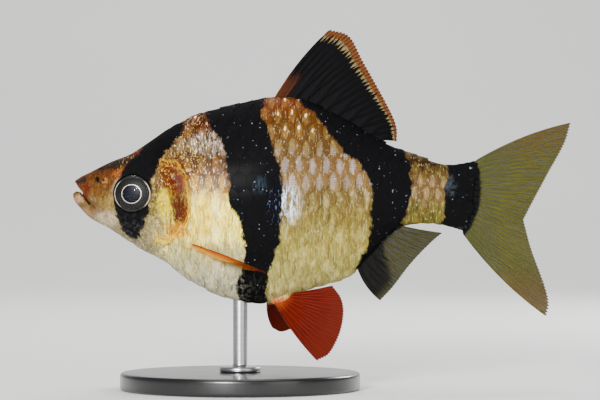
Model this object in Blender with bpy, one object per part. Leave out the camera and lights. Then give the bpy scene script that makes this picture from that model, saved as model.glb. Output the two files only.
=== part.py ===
"""A tiger barb at life size, held by a rod on a round display stand.

Sizes are in millimetres. A fish point is (s, y, h): s behind the tip of the lower lip, y across the
body with the left flank at minus, and h above the body's axis. The head points to -X.
"""

import math

import bmesh
import bpy
from mathutils import Vector

MM = 0.001

# Whole fish
TOTAL_LENGTH = 62.3
AXIS_HEIGHT = 24.2
GAP = 0.3

# Body profiles against s: back, belly, half width, height of the widest line
BACK = (
    (0.0, 0.1), (0.5, 2.0), (1.0, 2.4), (2.1, 2.95), (4.6, 4.2), (7.1, 5.2), (9.0, 6.4), (12.75, 8.95),
    (14.6, 9.9), (17.1, 10.8), (20.9, 11.6), (25.5, 12.4), (28.4, 12.15), (33.4, 10.0), (38.4, 7.05),
    (43.4, 5.0), (46.9, 4.05), (50.75, 4.6),
)
BELLY = (
    (0.0, -0.05), (0.2, -0.6), (0.9, -1.5), (2.1, -2.7), (4.6, -4.1), (8.4, -6.6), (11.0, -7.95),
    (14.6, -10.6), (18.4, -12.5), (23.4, -13.5), (26.0, -13.2), (28.4, -12.15), (34.6, -10.05),
    (36.5, -8.0), (41.1, -3.95), (44.6, -3.5), (47.1, -4.0), (50.75, -5.2),
)
HALF_WIDTH = (
    (0.0, 0.3), (0.35, 0.85), (1.0, 1.25), (2.1, 1.7), (5.0, 2.75), (7.6, 3.4), (10.0, 3.95), (13.5, 4.6),
    (17.0, 4.95), (22.0, 5.0), (28.0, 4.5), (34.0, 3.5), (40.0, 2.35), (45.0, 1.45), (48.5, 0.95),
    (50.75, 0.6),
)
WIDEST_LINE = (
    (0.0, 0.0), (3.0, -0.3), (7.6, -0.3), (14.0, -1.2), (22.0, -1.5), (30.0, -0.6), (38.0, 0.3), (50.75, -0.2),
)
# Powers of the sine that round a cross-section: under 1 is boxy, over 1 is keeled
BACK_POWER = ((0.0, 0.85), (10.0, 0.85), (18.0, 1.2), (50.75, 1.05))
BELLY_POWER = ((0.0, 0.85), (10.0, 1.1), (18.0, 0.92), (36.0, 1.0), (50.75, 1.0))

HEAD_END = 14.2
TORSO_END = 41.2
BODY_END = 50.75
# The tail fin joins along a line whose lower end lies this much further forward
TAIL_LEAN = 1.65
SNOUT_RINGS = (0.0, 0.08, 0.2, 0.36, 0.6, 0.9, 1.25, 1.7, 2.2, 2.8)

# Head
EYE_AT = (7.62, 0.25)
EYE_RADII = (2.6, 1.15, 2.42)
EYE_STANDS_OUT = 0.7
EYE_TURN = math.radians(12)
NOSTRILS = ((3.1, 2.05), (4.05, 1.95))
NOSTRIL_RADII = (0.3, 0.42, 0.24)
# The open mouth and the slit back to its corner, seen from the side
MOUTH = (
    (-0.6, 1.95), (0.38, 1.62), (0.8, 0.96), (1.05, 0.72), (2.32, -0.92), (2.15, -1.12), (0.9, 0.5),
    (0.5, 0.6), (0.2, 0.42), (-0.1, 0.25), (-0.6, 0.15),
)
LIP_LINE = ((0.4, 1.2), (1.0, 0.62), (2.3, -1.05))
LIP_SWELL = 0.2
LIP_WIDTH = 0.5
ORBIT_SWELL = 0.14

# Gill cover: front and free rear edge from its top corner down, seen from the side
GILL_FRONT = ((11.4, 5.0), (11.0, 3.0), (10.95, 0.75), (10.9, -1.5), (10.3, -3.75), (9.4, -5.9))
GILL_REAR = (
    (12.1, 5.25), (13.75, 3.9), (14.6, 2.0), (14.9, -0.25), (14.6, -2.5), (13.75, -4.4), (12.1, -5.9),
    (10.3, -6.8),
)
GILL_MIDDLE = (12.3, -0.8)
GILL_THICK = 0.55
GILL_LIFT = (0.05, 0.25)

# Fins. Half thickness is at the root and at the edge. Bows bend the rays between the two
RAY_RIDGE = 0.14
FIN_HALF_THICK = (0.26, 0.13)
DORSAL_ROOT = (25.0, 38.3)
DORSAL_MARGIN = ((32.1, 20.85), (34.6, 20.0), (36.3, 16.9), (39.1, 11.8), (40.4, 8.9), (40.5, 6.8))
DORSAL_RAYS = 11
DORSAL_BOW = (-0.55, 0, 0.75)
DORSAL_SWAY = 0.35
ANAL_ROOT = (35.7, 41.0)
ANAL_MARGIN = ((38.4, -13.1), (40.0, -11.4), (42.3, -8.4), (44.6, -6.0), (46.2, -4.6))
ANAL_RAYS = 8
ANAL_BOW = (-0.7, 0, -0.4)
ANAL_SWAY = -0.3
CAUDAL_ROOT = (4.5, -4.75)
CAUDAL_UPPER_MARGIN = ((62.3, 9.2), (61.5, 6.5), (59.5, 2.8), (57.8, -0.3), (56.35, -3.0))
CAUDAL_LOWER_MARGIN = ((56.35, -3.0), (57.3, -6.6), (58.9, -11.0), (59.5, -13.4), (59.2, -15.1))
CAUDAL_RAYS = (10, 9)
CAUDAL_UPPER_BOW = (-0.3, 0, 1.0)
CAUDAL_LOWER_BOW = (-0.85, 0, -0.85)
CAUDAL_SWAY = 0.7
# The notch opens a little wider than the slit between the lobes, as the edges run askew there
NOTCH = 1.1 * GAP
PELVIC_RAYS = 9
# How far round the body from the keel each pelvic root lies, in turns, and how far off the skin
PELVIC_OFF_KEEL = 0.042
PELVIC_CLEAR = GAP + 0.12
PELVIC_LEFT_ROOT = (24.9, 26.9)
PELVIC_RIGHT_ROOT = (24.2, 26.2)
# Tips of the first to the last ray of each pelvic fin. The left one lies back, the right one is held out
PELVIC_LEFT_MARGIN = (
    (30.5, -4.9, -20.35), (32.1, -4.6, -19.4), (33.4, -3.9, -16.9), (33.85, -3.4, -14.4), (33.5, -3.0, -12.6),
    (32.4, -2.7, -11.1),
)
PELVIC_RIGHT_MARGIN = (
    (24.9, 7.0, -16.8), (26.1, 7.5, -17.3), (27.7, 7.0, -16.6), (28.9, 5.8, -15.2), (29.2, 4.2, -13.7),
)
PECTORAL_ROOT = ((14.3, -5.75), (14.75, -6.6))
PECTORAL_RAYS = 8
PECTORAL_CLEAR = GAP + 0.15
PECTORAL_MARGIN = ((24.5, 7.6, -9.45), (23.3, 7.4, -9.25), (21.3, 6.6, -8.95), (18.8, 5.35, -8.15))

# Display stand
ROD_AT = 20.9
ROD_RADIUS = 0.9
ROD_SINKS = 1.4
FOOT_RADIUS = 2.6
FOOT_HEIGHT = 0.7
FOOT_BEVEL = 0.3
BASE_RADIUS = 15.0
BASE_THICK = 2.2
BASE_BEVEL = 0.5

SKIN_TAN = (0.55, 0.42, 0.26, 1.0)
FIN_BLACK = (0.02, 0.02, 0.02, 1.0)
FIN_OLIVE = (0.30, 0.26, 0.12, 1.0)
FIN_RED = (0.55, 0.06, 0.02, 1.0)
FIN_ORANGE = (0.65, 0.25, 0.08, 1.0)
EYE_DARK = (0.01, 0.01, 0.03, 1.0)
STAND_DARK = (0.03, 0.03, 0.035, 1.0)
STEEL = (0.6, 0.6, 0.62, 1.0)


def clear_scene():
    for obj in list(bpy.data.objects):
        bpy.data.objects.remove(obj)


def finish(name, colour, roughness, metallic=0.0):
    material = bpy.data.materials.new(name)
    material.use_nodes = True
    shader = material.node_tree.nodes["Principled BSDF"]
    shader.inputs["Base Color"].default_value = colour
    shader.inputs["Roughness"].default_value = roughness
    shader.inputs["Metallic"].default_value = metallic
    return material


def smooth_curve(points):
    """h as a function of s through the points, which never swings past them."""
    xs, ys = zip(*points)
    slopes = [(ys[i + 1] - ys[i]) / (xs[i + 1] - xs[i]) for i in range(len(xs) - 1)]
    tangents = [slopes[0]]
    for before, after in zip(slopes, slopes[1:]):
        tangents.append(2 * before * after / (before + after) if before * after > 0 else 0.0)
    tangents.append(slopes[-1])

    def value(x):
        x = min(max(x, xs[0]), xs[-1])
        i = max(k for k in range(len(xs) - 1) if xs[k] <= x)
        width = xs[i + 1] - xs[i]
        t = (x - xs[i]) / width
        rest = 1 - t
        return (
            ys[i] * rest * rest * (1 + 2 * t)
            + ys[i + 1] * t * t * (3 - 2 * t)
            + width * t * rest * (tangents[i] * rest - tangents[i + 1] * t)
        )

    return value


def smooth_path(points, steps=12):
    """A point at a share from 0 to 1 of the length of a curve through the points."""
    knots = [Vector(p) for p in points]
    knots = [2 * knots[0] - knots[1], *knots, 2 * knots[-1] - knots[-2]]
    line = []
    for a, b, c, d in zip(knots, knots[1:], knots[2:], knots[3:]):
        for k in range(steps):
            t = k / steps
            squared = (2 * a - 5 * b + 4 * c - d) * t**2
            cubed = (3 * b - a - 3 * c + d) * t**3
            line.append(0.5 * (2 * b + (c - a) * t + squared + cubed))
    line.append(knots[-2])
    reach = [0.0]
    for a, b in zip(line, line[1:]):
        reach.append(reach[-1] + (b - a).length)

    def at(share):
        goal = min(max(share, 0.0), 1.0) * reach[-1]
        i = max(k for k in range(len(line) - 1) if reach[k] <= goal)
        return line[i].lerp(line[i + 1], (goal - reach[i]) / (reach[i + 1] - reach[i]))

    return at


back = smooth_curve(BACK)
belly = smooth_curve(BELLY)
half_width = smooth_curve(HALF_WIDTH)
widest_line = smooth_curve(WIDEST_LINE)
back_power = smooth_curve(BACK_POWER)
belly_power = smooth_curve(BELLY_POWER)


def placed(s, y, h):
    """A fish point as a place in the scene, in metres."""
    return Vector((s - TOTAL_LENGTH / 2, y, h + AXIS_HEIGHT)) * MM


def body_point(s, turn):
    """A skin point: turn runs from 0 at the back down the left flank to 0.5 at the belly and up to 1."""
    angle = 2 * math.pi * (turn % 1.0)
    level = math.cos(angle)
    across = math.sin(angle)
    mid = widest_line(s)
    if level > 0:
        h = mid + level * (back(s) - mid)
        power = back_power(s)
    else:
        h = mid + level * (mid - belly(s))
        power = belly_power(s)
    y = half_width(s) * abs(across) ** power
    return Vector((s, -math.copysign(y, across), h))


def flank(s, h):
    """The half width of the body at that height."""
    mid = widest_line(s)
    upper = h > mid
    level = (h - mid) / (back(s) - mid if upper else mid - belly(s))
    power = back_power(s) if upper else belly_power(s)
    return half_width(s) * max(1 - level * level, 0.0) ** (power / 2)


def skin_at(s, h, side):
    """The skin point at that height on one side, and its outward direction. side is -1 for the left."""
    step = 0.05
    here = Vector((s, side * flank(s, h), h))
    along = Vector((2 * step, side * (flank(s + step, h) - flank(s - step, h)), 0))
    down = Vector((0, side * (flank(s, h - step) - flank(s, h + step)), -2 * step))
    outward = along.cross(down).normalized()
    return here, outward * math.copysign(1, outward.y * side)


def distance_to_line(point, line):
    """How far a side-view point lies from a chain of straight pieces."""
    best = 1e9
    for a, b in zip(line, line[1:]):
        a, b = Vector(a), Vector(b)
        share = max(0.0, min(1.0, (point - a).dot(b - a) / (b - a).length_squared))
        best = min(best, (point - a.lerp(b, share)).length)
    return best


def head_swell(s, h):
    """How far the lips and the rim of the eye socket stand out from the plain head."""
    point = Vector((s, h))
    from_lips = (distance_to_line(point, LIP_LINE) - LIP_WIDTH) / LIP_WIDTH
    from_eye = (point - Vector(EYE_AT)).length - EYE_RADII[0] - GAP
    return LIP_SWELL * math.exp(-from_lips * from_lips * 2) + ORBIT_SWELL * math.exp(-from_eye * from_eye * 5)


def show(name, mesh_data, material):
    mesh = bpy.data.meshes.new(name)
    mesh_data.normal_update()
    bmesh.ops.recalc_face_normals(mesh_data, faces=mesh_data.faces)
    mesh_data.to_mesh(mesh)
    mesh_data.free()
    mesh.materials.append(material)
    mesh.shade_smooth()
    mesh.set_sharp_from_angle(angle=math.radians(50))
    obj = bpy.data.objects.new(name, mesh)
    bpy.context.scene.collection.objects.link(obj)
    return obj


def body_length(name, stations, around, material, swell=None, end_lean=0.0):
    """A length of the body: rings of skin points at each station, closed at both ends."""
    work = bmesh.new()
    bmesh.ops.create_grid(work, x_segments=around, y_segments=len(stations) - 1, size=0.5)
    for vert in work.verts:
        turn = round((vert.co.x + 0.5) * around) / around
        row = round((vert.co.y + 0.5) * (len(stations) - 1))
        s = stations[row]
        below_back = (back(s) - body_point(s, turn).z) / (back(s) - belly(s) + 1e-6)
        s -= end_lean * below_back * row / (len(stations) - 1)
        point = body_point(s, turn)
        if swell and stations[0] < s < stations[-1]:
            outward = skin_at(s, point.z * 0.98, -1 if point.y < 0 else 1)[1]
            outward.y *= min(abs(point.y) / 0.4, 1.0)
            point += outward * swell(s, point.z)
        vert.co = placed(*point)
    bmesh.ops.remove_doubles(work, verts=work.verts, dist=1e-7)
    rims = [edge for edge in work.edges if edge.is_boundary]
    bmesh.ops.holes_fill(work, edges=rims, sides=0)
    return show(name, work, material)


def plate(name, columns, rows, point, material):
    """A thin closed plate. point(t, s, face) gives the place on its outer (1) or inner (-1) face."""
    work = bmesh.new()
    bmesh.ops.create_grid(work, x_segments=columns, y_segments=rows, size=0.5)
    bmesh.ops.triangulate(work, faces=work.faces, quad_method="FIXED")
    raised = bmesh.ops.extrude_face_region(work, geom=work.faces[:])["geom"]
    outer = {item for item in raised if isinstance(item, bmesh.types.BMVert)}
    for vert in work.verts:
        vert.co = placed(*point(vert.co.x + 0.5, vert.co.y + 0.5, 1 if vert in outer else -1))
    return show(name, work, material)


def ellipsoid(name, centre, radii, turned, segments, material):
    """A ball squashed to three radii, turned about the vertical."""
    work = bmesh.new()
    bmesh.ops.create_uvsphere(work, u_segments=segments, v_segments=segments // 2, radius=1)
    cos, sin = math.cos(turned), math.sin(turned)
    for vert in work.verts:
        # The ball's pole points out of the head, so that its rings run round the pupil
        x, y, h = vert.co.x * radii[0], vert.co.z * radii[1], vert.co.y * radii[2]
        vert.co = placed(centre[0] + x * cos - y * sin, centre[1] + x * sin + y * cos, centre[2] + h)
    return show(name, work, material)


def cutter(obj):
    obj.hide_render = True
    obj.display_type = "WIRE"
    return obj


def cut(obj, cutters):
    for tool in cutters:
        modifier = obj.modifiers.new(tool.name, "BOOLEAN")
        modifier.operation = "DIFFERENCE"
        modifier.solver = "EXACT"
        modifier.object = tool


def mouth_cutter(material):
    """The side view of the open mouth, pushed through the snout from side to side."""
    reach = half_width(MOUTH[4][0]) + 1
    work = bmesh.new()
    face = work.faces.new([work.verts.new(placed(s, -reach, h)) for s, h in MOUTH])
    pushed = bmesh.ops.extrude_face_region(work, geom=[face])["geom"]
    bmesh.ops.translate(
        work, vec=(0, 2 * reach * MM, 0), verts=[item for item in pushed if isinstance(item, bmesh.types.BMVert)]
    )
    bmesh.ops.triangulate(work, faces=work.faces)
    return cutter(show("cut_mouth", work, material))


def eye(name, side, grow, material):
    here = skin_at(*EYE_AT, side)[0]
    depth = EYE_STANDS_OUT - EYE_RADII[1]
    centre = (here.x - math.sin(EYE_TURN) * depth, side * (abs(here.y) + depth), here.z)
    radii = [r + grow for r in EYE_RADII]
    return ellipsoid(name, centre, radii, side * EYE_TURN, 20, material)


def nostril_cutters(side, material):
    made = []
    for number, (s, h) in enumerate(NOSTRILS):
        here = skin_at(s, h, side)[0]
        name = f"cut_nostril_{number}_{'left' if side < 0 else 'right'}"
        made.append(cutter(ellipsoid(name, here, NOSTRIL_RADII, 0, 10, material)))
    return made


def gill_cover(name, side, grow, material):
    """The bony flap over the gills. grow makes it into the space that it lies in."""
    front, rear = smooth_path(GILL_FRONT), smooth_path(GILL_REAR)
    middle = Vector(GILL_MIDDLE)

    def point(t, s, face):
        flat = front(1 - s).lerp(rear(1 - s), t)
        flat += (flat - middle).normalized() * grow
        here, outward = skin_at(flat.x, flat.y, side)
        lift = GILL_LIFT[0] + (GILL_LIFT[1] - GILL_LIFT[0]) * t
        if face < 0:
            return here + outward * (lift - GILL_THICK - grow)
        return here + outward * (lift + 4 * grow)

    return plate(name, 8, 12, point, material)


def ray_profile(column, per_ray, s):
    """The height of a ray, from 0 in a valley to 1 on a crest, with each ray forked towards its tip."""
    share = (column / per_ray) % 1.0
    from_crest = min(share, 1 - share) * 2
    whole = max(0.0, 1 - from_crest * 1.3)
    if per_ray < 4:
        return whole
    forked = max(0.0, 1 - abs(from_crest - 0.5) * 2.2)
    fork = min(max((s - 0.35) / 0.3, 0.0), 1.0)
    return whole * (1 - fork) + forked * fork


def fin(name, rays, per_ray, rows, root, margin, bow, material, sway=None):
    """A fin whose rays stand up as ridges on both faces. root and margin give points at a share across it."""
    columns = (rays - 1) * per_ray

    def centre(t, s):
        a, b = root(t), margin(t)
        mid = a.lerp(b, 0.5) + bow(t)
        point = a.lerp(mid, s).lerp(mid.lerp(b, s), s)
        if sway:
            point.y += sway(t, s)
        return point

    def point(t, s, face):
        step = 0.02
        here = centre(t, s)
        across = centre(min(t + step, 1), s) - centre(max(t - step, 0), s)
        along = centre(t, min(s + step, 1)) - centre(t, max(s - step, 0))
        normal = across.cross(along).normalized()
        column = round(t * columns)
        thick = FIN_HALF_THICK[0] + (FIN_HALF_THICK[1] - FIN_HALF_THICK[0]) * s * s
        grown = min(s / 0.25, 1.0) * (1 - 0.5 * s)
        thick += RAY_RIDGE * ray_profile(column, per_ray, s) * grown
        return here + normal * thick * face

    return plate(name, columns, rows, point, material)


def off_profile(curve, s, side):
    """A point just off the back (side 1) or belly (side -1), square to the profile."""
    slope = (curve(s + 0.05) - curve(s - 0.05)) / 0.1
    out = Vector((-slope, 0, 1)).normalized() * side * GAP
    return Vector((s, 0, curve(s))) + out


def flat_path(points):
    return smooth_path([(s, 0, h) for s, h in points])


def dorsal_fin(material):
    start, end = DORSAL_ROOT
    return fin(
        "dorsal_fin", DORSAL_RAYS, 4, 8,
        lambda t: off_profile(back, start + (end - start) * t, 1),
        flat_path(DORSAL_MARGIN),
        lambda t: Vector(DORSAL_BOW) * (1 - 0.6 * t),
        material,
        lambda t, s: DORSAL_SWAY * s * s * math.sin(math.pi * t),
    )


def anal_fin(material):
    start, end = ANAL_ROOT
    return fin(
        "anal_fin", ANAL_RAYS, 2, 6,
        lambda t: off_profile(belly, start + (end - start) * t, -1),
        flat_path(ANAL_MARGIN),
        lambda t: Vector(ANAL_BOW) * (1 - 0.7 * t),
        material,
        lambda t, s: ANAL_SWAY * s * s * math.sin(math.pi * t),
    )


def caudal_lobe(name, rays, first, last, margin_points, bow, material):
    """One lobe of the tail fin. first and last are its shares of the root's height, from the top."""
    top, bottom = CAUDAL_ROOT
    margin = flat_path(margin_points)

    def root(t):
        share = first + (last - first) * t
        return Vector((BODY_END + GAP - TAIL_LEAN * share, 0, top + (bottom - top) * share))

    def sway(t, s):
        share = first + (last - first) * t
        return CAUDAL_SWAY * s * s * math.sin(2 * math.pi * share)

    return fin(name, rays, 4, 8, root, margin, bow, material, sway)


def caudal_fin(material):
    upper_rays, lower_rays = CAUDAL_RAYS
    share = upper_rays / (upper_rays + lower_rays)
    slit = GAP / 2 / (CAUDAL_ROOT[0] - CAUDAL_ROOT[1])
    caudal_lobe(
        "caudal_fin_upper", upper_rays, 0.0, share - slit, CAUDAL_UPPER_MARGIN,
        lambda t: Vector(CAUDAL_UPPER_BOW) * (1 - t), material,
    )
    notch_s, notch_h = CAUDAL_LOWER_MARGIN[0]
    lower = [(notch_s, notch_h - NOTCH), *CAUDAL_LOWER_MARGIN[1:]]
    caudal_lobe(
        "caudal_fin_lower", lower_rays, share + slit, 1.0, lower,
        lambda t: Vector(CAUDAL_LOWER_BOW) * t, material,
    )


def pelvic_fin(name, side, root_ends, margin_points, material):
    start, end = root_ends
    half_turn = 0.5 + side * PELVIC_OFF_KEEL

    def root(t):
        s = start + (end - start) * t
        here = body_point(s, half_turn)
        beside = body_point(s, half_turn + 0.01) - body_point(s, half_turn - 0.01)
        along = body_point(s + 0.1, half_turn) - body_point(s - 0.1, half_turn)
        out = beside.cross(along).normalized()
        return here + out * math.copysign(PELVIC_CLEAR, -out.z)

    return fin(
        name, PELVIC_RAYS, 2, 7, root, smooth_path(margin_points),
        lambda t: Vector((-0.5, side * 0.5 * (1 - t), -0.5 - 0.6 * t)), material,
    )


def pectoral_fin(name, side, material):
    top, bottom = Vector(PECTORAL_ROOT[0]), Vector(PECTORAL_ROOT[1])

    def root(t):
        flat = top.lerp(bottom, t)
        here, outward = skin_at(flat.x, flat.y, side)
        return here + outward * PECTORAL_CLEAR

    return fin(
        name, PECTORAL_RAYS, 2, 7, root,
        smooth_path([(s, side * y, h) for s, y, h in PECTORAL_MARGIN]),
        lambda t: Vector((0, side * 0.45, 0.25 - 0.3 * t)), material,
    )


def turned(name, profile, sides, at, material):
    """A turned piece: profile runs from the axis at the bottom, up the outside, to the axis at the top."""
    work = bmesh.new()
    ring = [work.verts.new((radius * MM, 0, height * MM)) for radius, height in profile]
    edges = [work.edges.new(pair) for pair in zip(ring, ring[1:])]
    bmesh.ops.spin(
        work, geom=ring + edges, cent=(0, 0, 0), axis=(0, 0, 1), angle=2 * math.pi, steps=sides,
        use_merge=True,
    )
    bmesh.ops.remove_doubles(work, verts=work.verts, dist=1e-6)
    obj = show(name, work, material)
    obj.location = at
    return obj


def stand(base_material, rod_material):
    at = Vector(((ROD_AT - TOTAL_LENGTH / 2) * MM, 0, 0))
    edge = BASE_RADIUS - BASE_BEVEL
    base = [
        (0, 0), (edge, 0), (BASE_RADIUS, BASE_BEVEL), (BASE_RADIUS, BASE_THICK - BASE_BEVEL),
        (edge, BASE_THICK), (0, BASE_THICK),
    ]
    turned("stand_base", base, 64, at, base_material)
    foot = BASE_THICK + GAP
    top = AXIS_HEIGHT + belly(ROD_AT) + ROD_SINKS
    shoulder = foot + FOOT_HEIGHT
    rod = [
        (0, foot), (FOOT_RADIUS, foot), (FOOT_RADIUS, foot + FOOT_HEIGHT / 2),
        (FOOT_RADIUS - FOOT_BEVEL, shoulder), (ROD_RADIUS + FOOT_BEVEL, shoulder),
        (ROD_RADIUS, shoulder + FOOT_BEVEL), (ROD_RADIUS, top), (0, top),
    ]
    turned("stand_rod", rod, 24, at, rod_material)
    hole = AXIS_HEIGHT + belly(ROD_AT) - 2
    socket = [(0, hole), (ROD_RADIUS + GAP, hole), (ROD_RADIUS + GAP, top + GAP), (0, top + GAP)]
    return cutter(turned("cut_rod_socket", socket, 24, at, rod_material))


def spaced(start, end, count):
    return [start + (end - start) * k / (count - 1) for k in range(count)]


def build():
    clear_scene()
    skin = finish("skin", SKIN_TAN, 0.35)
    black = finish("fin_black", FIN_BLACK, 0.4)
    olive = finish("fin_olive", FIN_OLIVE, 0.4)
    red = finish("fin_red", FIN_RED, 0.4)
    orange = finish("fin_orange", FIN_ORANGE, 0.4)
    dark = finish("eye_dark", EYE_DARK, 0.1)
    stand_dark = finish("stand_dark", STAND_DARK, 0.3)
    steel = finish("steel", STEEL, 0.3, 1.0)

    head = body_length("head", [*SNOUT_RINGS, *spaced(3.5, HEAD_END, 18)], 36, skin, head_swell)
    torso = body_length("torso", spaced(HEAD_END + GAP, TORSO_END, 26), 32, skin)
    body_length("tail_stem", spaced(TORSO_END + GAP, BODY_END, 9), 28, skin, end_lean=TAIL_LEAN)

    socket = stand(stand_dark, steel)
    gill_spaces = []
    head_tools = [mouth_cutter(skin)]
    for side, word in ((-1, "left"), (1, "right")):
        gill_cover(f"gill_cover_{word}", side, 0, skin)
        gill_spaces.append(cutter(gill_cover(f"cut_gill_{word}", side, GAP, skin)))
        eye(f"eye_{word}", side, 0, dark)
        head_tools.append(cutter(eye(f"cut_eye_{word}", side, GAP, skin)))
        head_tools += nostril_cutters(side, skin)
        pectoral_fin(f"pectoral_fin_{word}", side, orange)
    cut(head, head_tools + gill_spaces)
    cut(torso, gill_spaces + [socket])

    dorsal_fin(black)
    anal_fin(olive)
    caudal_fin(olive)
    pelvic_fin("pelvic_fin_left", -1, PELVIC_LEFT_ROOT, PELVIC_LEFT_MARGIN, red)
    pelvic_fin("pelvic_fin_right", 1, PELVIC_RIGHT_ROOT, PELVIC_RIGHT_MARGIN, red)


build()
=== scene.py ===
"""The looks of a tiger barb on its display stand.

A fish point is (s, y, h) in millimetres: s behind the tip of the lower lip, y across the body with the
left flank at minus, and h above the body's axis. Every piece is shaped in fish millimetres and turned into
the frame's metres once it is whole. A side is -1 for the left and 1 for the right.
"""
import math
import random
from bisect import bisect_right
from functools import lru_cache
from itertools import accumulate

import bmesh
import bpy
from mathutils import Matrix, Vector


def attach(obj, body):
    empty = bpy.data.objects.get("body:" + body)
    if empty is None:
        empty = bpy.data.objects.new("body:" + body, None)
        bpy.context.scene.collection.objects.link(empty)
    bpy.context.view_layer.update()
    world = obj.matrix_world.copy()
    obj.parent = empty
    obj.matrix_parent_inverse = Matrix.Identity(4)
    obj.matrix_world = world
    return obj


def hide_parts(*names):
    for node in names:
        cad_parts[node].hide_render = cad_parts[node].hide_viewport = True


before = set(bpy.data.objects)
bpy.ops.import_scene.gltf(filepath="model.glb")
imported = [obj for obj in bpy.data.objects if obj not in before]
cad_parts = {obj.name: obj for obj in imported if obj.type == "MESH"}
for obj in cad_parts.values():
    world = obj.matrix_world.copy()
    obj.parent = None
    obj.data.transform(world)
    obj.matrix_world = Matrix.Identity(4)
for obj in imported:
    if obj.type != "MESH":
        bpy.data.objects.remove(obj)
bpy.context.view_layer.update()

MM = 0.001

# The fish in the frame: its lip at the head's low X, its axis at a set height over the stand's underside
TOTAL_LENGTH = 62.3
AXIS_HEIGHT = 24.2
TO_FRAME = Matrix.Scale(MM, 4) @ Matrix.Translation((-TOTAL_LENGTH / 2, 0, AXIS_HEIGHT))
SHARP_EDGE = math.radians(60)
TURN = 2 * math.pi

# Body profiles against s: back, belly, half width, height of the widest line
BACK = (
    (0.0, 0.1), (0.5, 2.0), (1.0, 2.4), (2.1, 2.95), (4.6, 4.2), (7.1, 5.2), (9.0, 6.4), (12.75, 8.95),
    (14.6, 9.9), (17.1, 10.8), (20.9, 11.6), (25.5, 12.4), (28.4, 12.15), (33.4, 10.0), (38.4, 7.05),
    (43.4, 5.0), (46.9, 4.05), (50.75, 4.6),
)
BELLY = (
    (0.0, -0.05), (0.2, -0.6), (0.9, -1.5), (2.1, -2.7), (4.6, -4.1), (8.4, -6.6), (11.0, -7.95),
    (14.6, -10.6), (18.4, -12.5), (23.4, -13.5), (26.0, -13.2), (28.4, -12.15), (34.6, -10.05),
    (36.5, -8.0), (41.1, -3.95), (44.6, -3.5), (47.1, -4.0), (50.75, -5.2),
)
HALF_WIDTH = (
    (0.0, 0.3), (0.35, 0.85), (1.0, 1.25), (2.1, 1.7), (5.0, 2.75), (7.6, 3.4), (10.0, 3.95), (13.5, 4.6),
    (17.0, 4.95), (22.0, 5.0), (28.0, 4.5), (34.0, 3.5), (40.0, 2.35), (45.0, 1.45), (48.5, 0.95),
    (50.75, 0.6),
)
WIDEST_LINE = (
    (0.0, 0.0), (3.0, -0.3), (7.6, -0.3), (14.0, -1.2), (22.0, -1.5), (30.0, -0.6), (38.0, 0.3),
    (50.75, -0.2),
)
# Powers of the section's curve over and under the widest line: fuller below 1, sharper above
BACK_POWER = ((0.0, 0.85), (10.0, 0.85), (18.0, 1.2), (50.75, 1.05))
BELLY_POWER = ((0.0, 0.85), (10.0, 1.1), (18.0, 0.92), (36.0, 1.0), (50.75, 1.0))
BODY_END = 50.75
# How far the tail's base slants forward from its top to its bottom, and where the slant starts
TAIL_LEAN = 1.65
LEAN_FROM = 42
# The scaled body lies this far inside the solids, so that the scales reach their surface. It sinks in over
# this length on either side of where they start
COAT_DEPTH = 0.13
COAT_FADE = 0.6
# Rings along the body, closer together towards the snout, and points round it
BODY_RINGS = 300
BODY_AROUND = 150
SNOUT_CROWDING = 1.35
# Nearer to the midline than this, folds move the skin less sideways
NEAR_MIDLINE = 0.4
# Voxels fuse the body with its lumps. They are no finer than keeps the skin under 200,000 triangles
VOXEL = 0.168
SMOOTH_PASSES = 3

# Head
EYE_AT = (7.62, 0.25)
EYE_RADII = (2.6, 1.15, 2.42)
EYE_STANDS_OUT = 0.7
EYE_TURN = math.radians(12)
SOCKET_GAP = 0.05
PUPIL_RADIUS = 1.2
# Shells of the eye: the latitude that each starts at, and its shares of the eye's width and depth
IRIS_SHELL = (-30, 0.985, 0.86)
PUPIL_SHARES = (1, 0.88)
CORNEA_SHELL = (5, 0.995, 1.02)
SHELL_MESH = (72, 28)
NOSTRILS = ((3.1, 2.05), (4.05, 1.95))
NOSTRIL_RADII = (0.24, 0.5, 0.18)
NOSTRIL_TILT = math.radians(25)
MOUTH = (
    (-0.6, 1.95), (0.38, 1.62), (0.8, 0.96), (1.05, 0.72), (2.32, -0.92), (2.15, -1.12), (0.9, 0.5),
    (0.5, 0.6), (0.2, 0.42), (-0.1, 0.25), (-0.6, 0.15),
)
LIP_LINE = ((0.4, 1.2), (1.0, 0.62), (2.3, -1.05))
MAXILLA_LINE = ((1.35, 1.95), (1.9, 0.7), (2.6, -0.9), (2.75, -2.1))
CHEEK_LINE = ((10.75, 5.0), (10.95, 2.0), (11.0, -1.5), (10.3, -3.9), (9.2, -5.6), (7.4, -6.0))
# Folds of the head: how far each stands out, how far it lies from its line, and its half width
LIP_FOLD = (0.2, 0.5, 0.34)
MAXILLA_FOLD = (0.13, 0.0, 0.3)
EYE_FOLD = (0.13, 0.22, 0.3)
CHEEK_FOLD = (-0.1, 0.0, 0.28)
NOSTRIL_FOLD = (0.09, 0.36, 0.16)
GILL_FOLD = (-0.16, 0.1, 0.4)
GILL_FOLD_FROM = 9
FOLDS_END = 18
# The lips are rounded this far back and this near the cut, in so many passes
LIPS_END = 2.9
LIP_REACH = 0.16
LIP_PASSES = 4

# The dark inside of the mouth, behind the lips, and its slope
MOUTH_LINING = ((1.9, 0.0, -0.25), (0.95, 0.85, 0.5))
MOUTH_SLOPE = math.radians(50)

# Gill cover: front and free rear edge from its top corner down, seen from the side
GILL_FRONT = ((11.4, 5.0), (11.0, 3.0), (10.95, 0.75), (10.9, -1.5), (10.3, -3.75), (9.4, -5.9))
GILL_REAR = (
    (12.1, 5.25), (13.75, 3.9), (14.6, 2.0), (14.9, -0.25), (14.6, -2.5), (13.75, -4.4), (12.1, -5.9),
    (10.3, -6.8),
)
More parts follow.
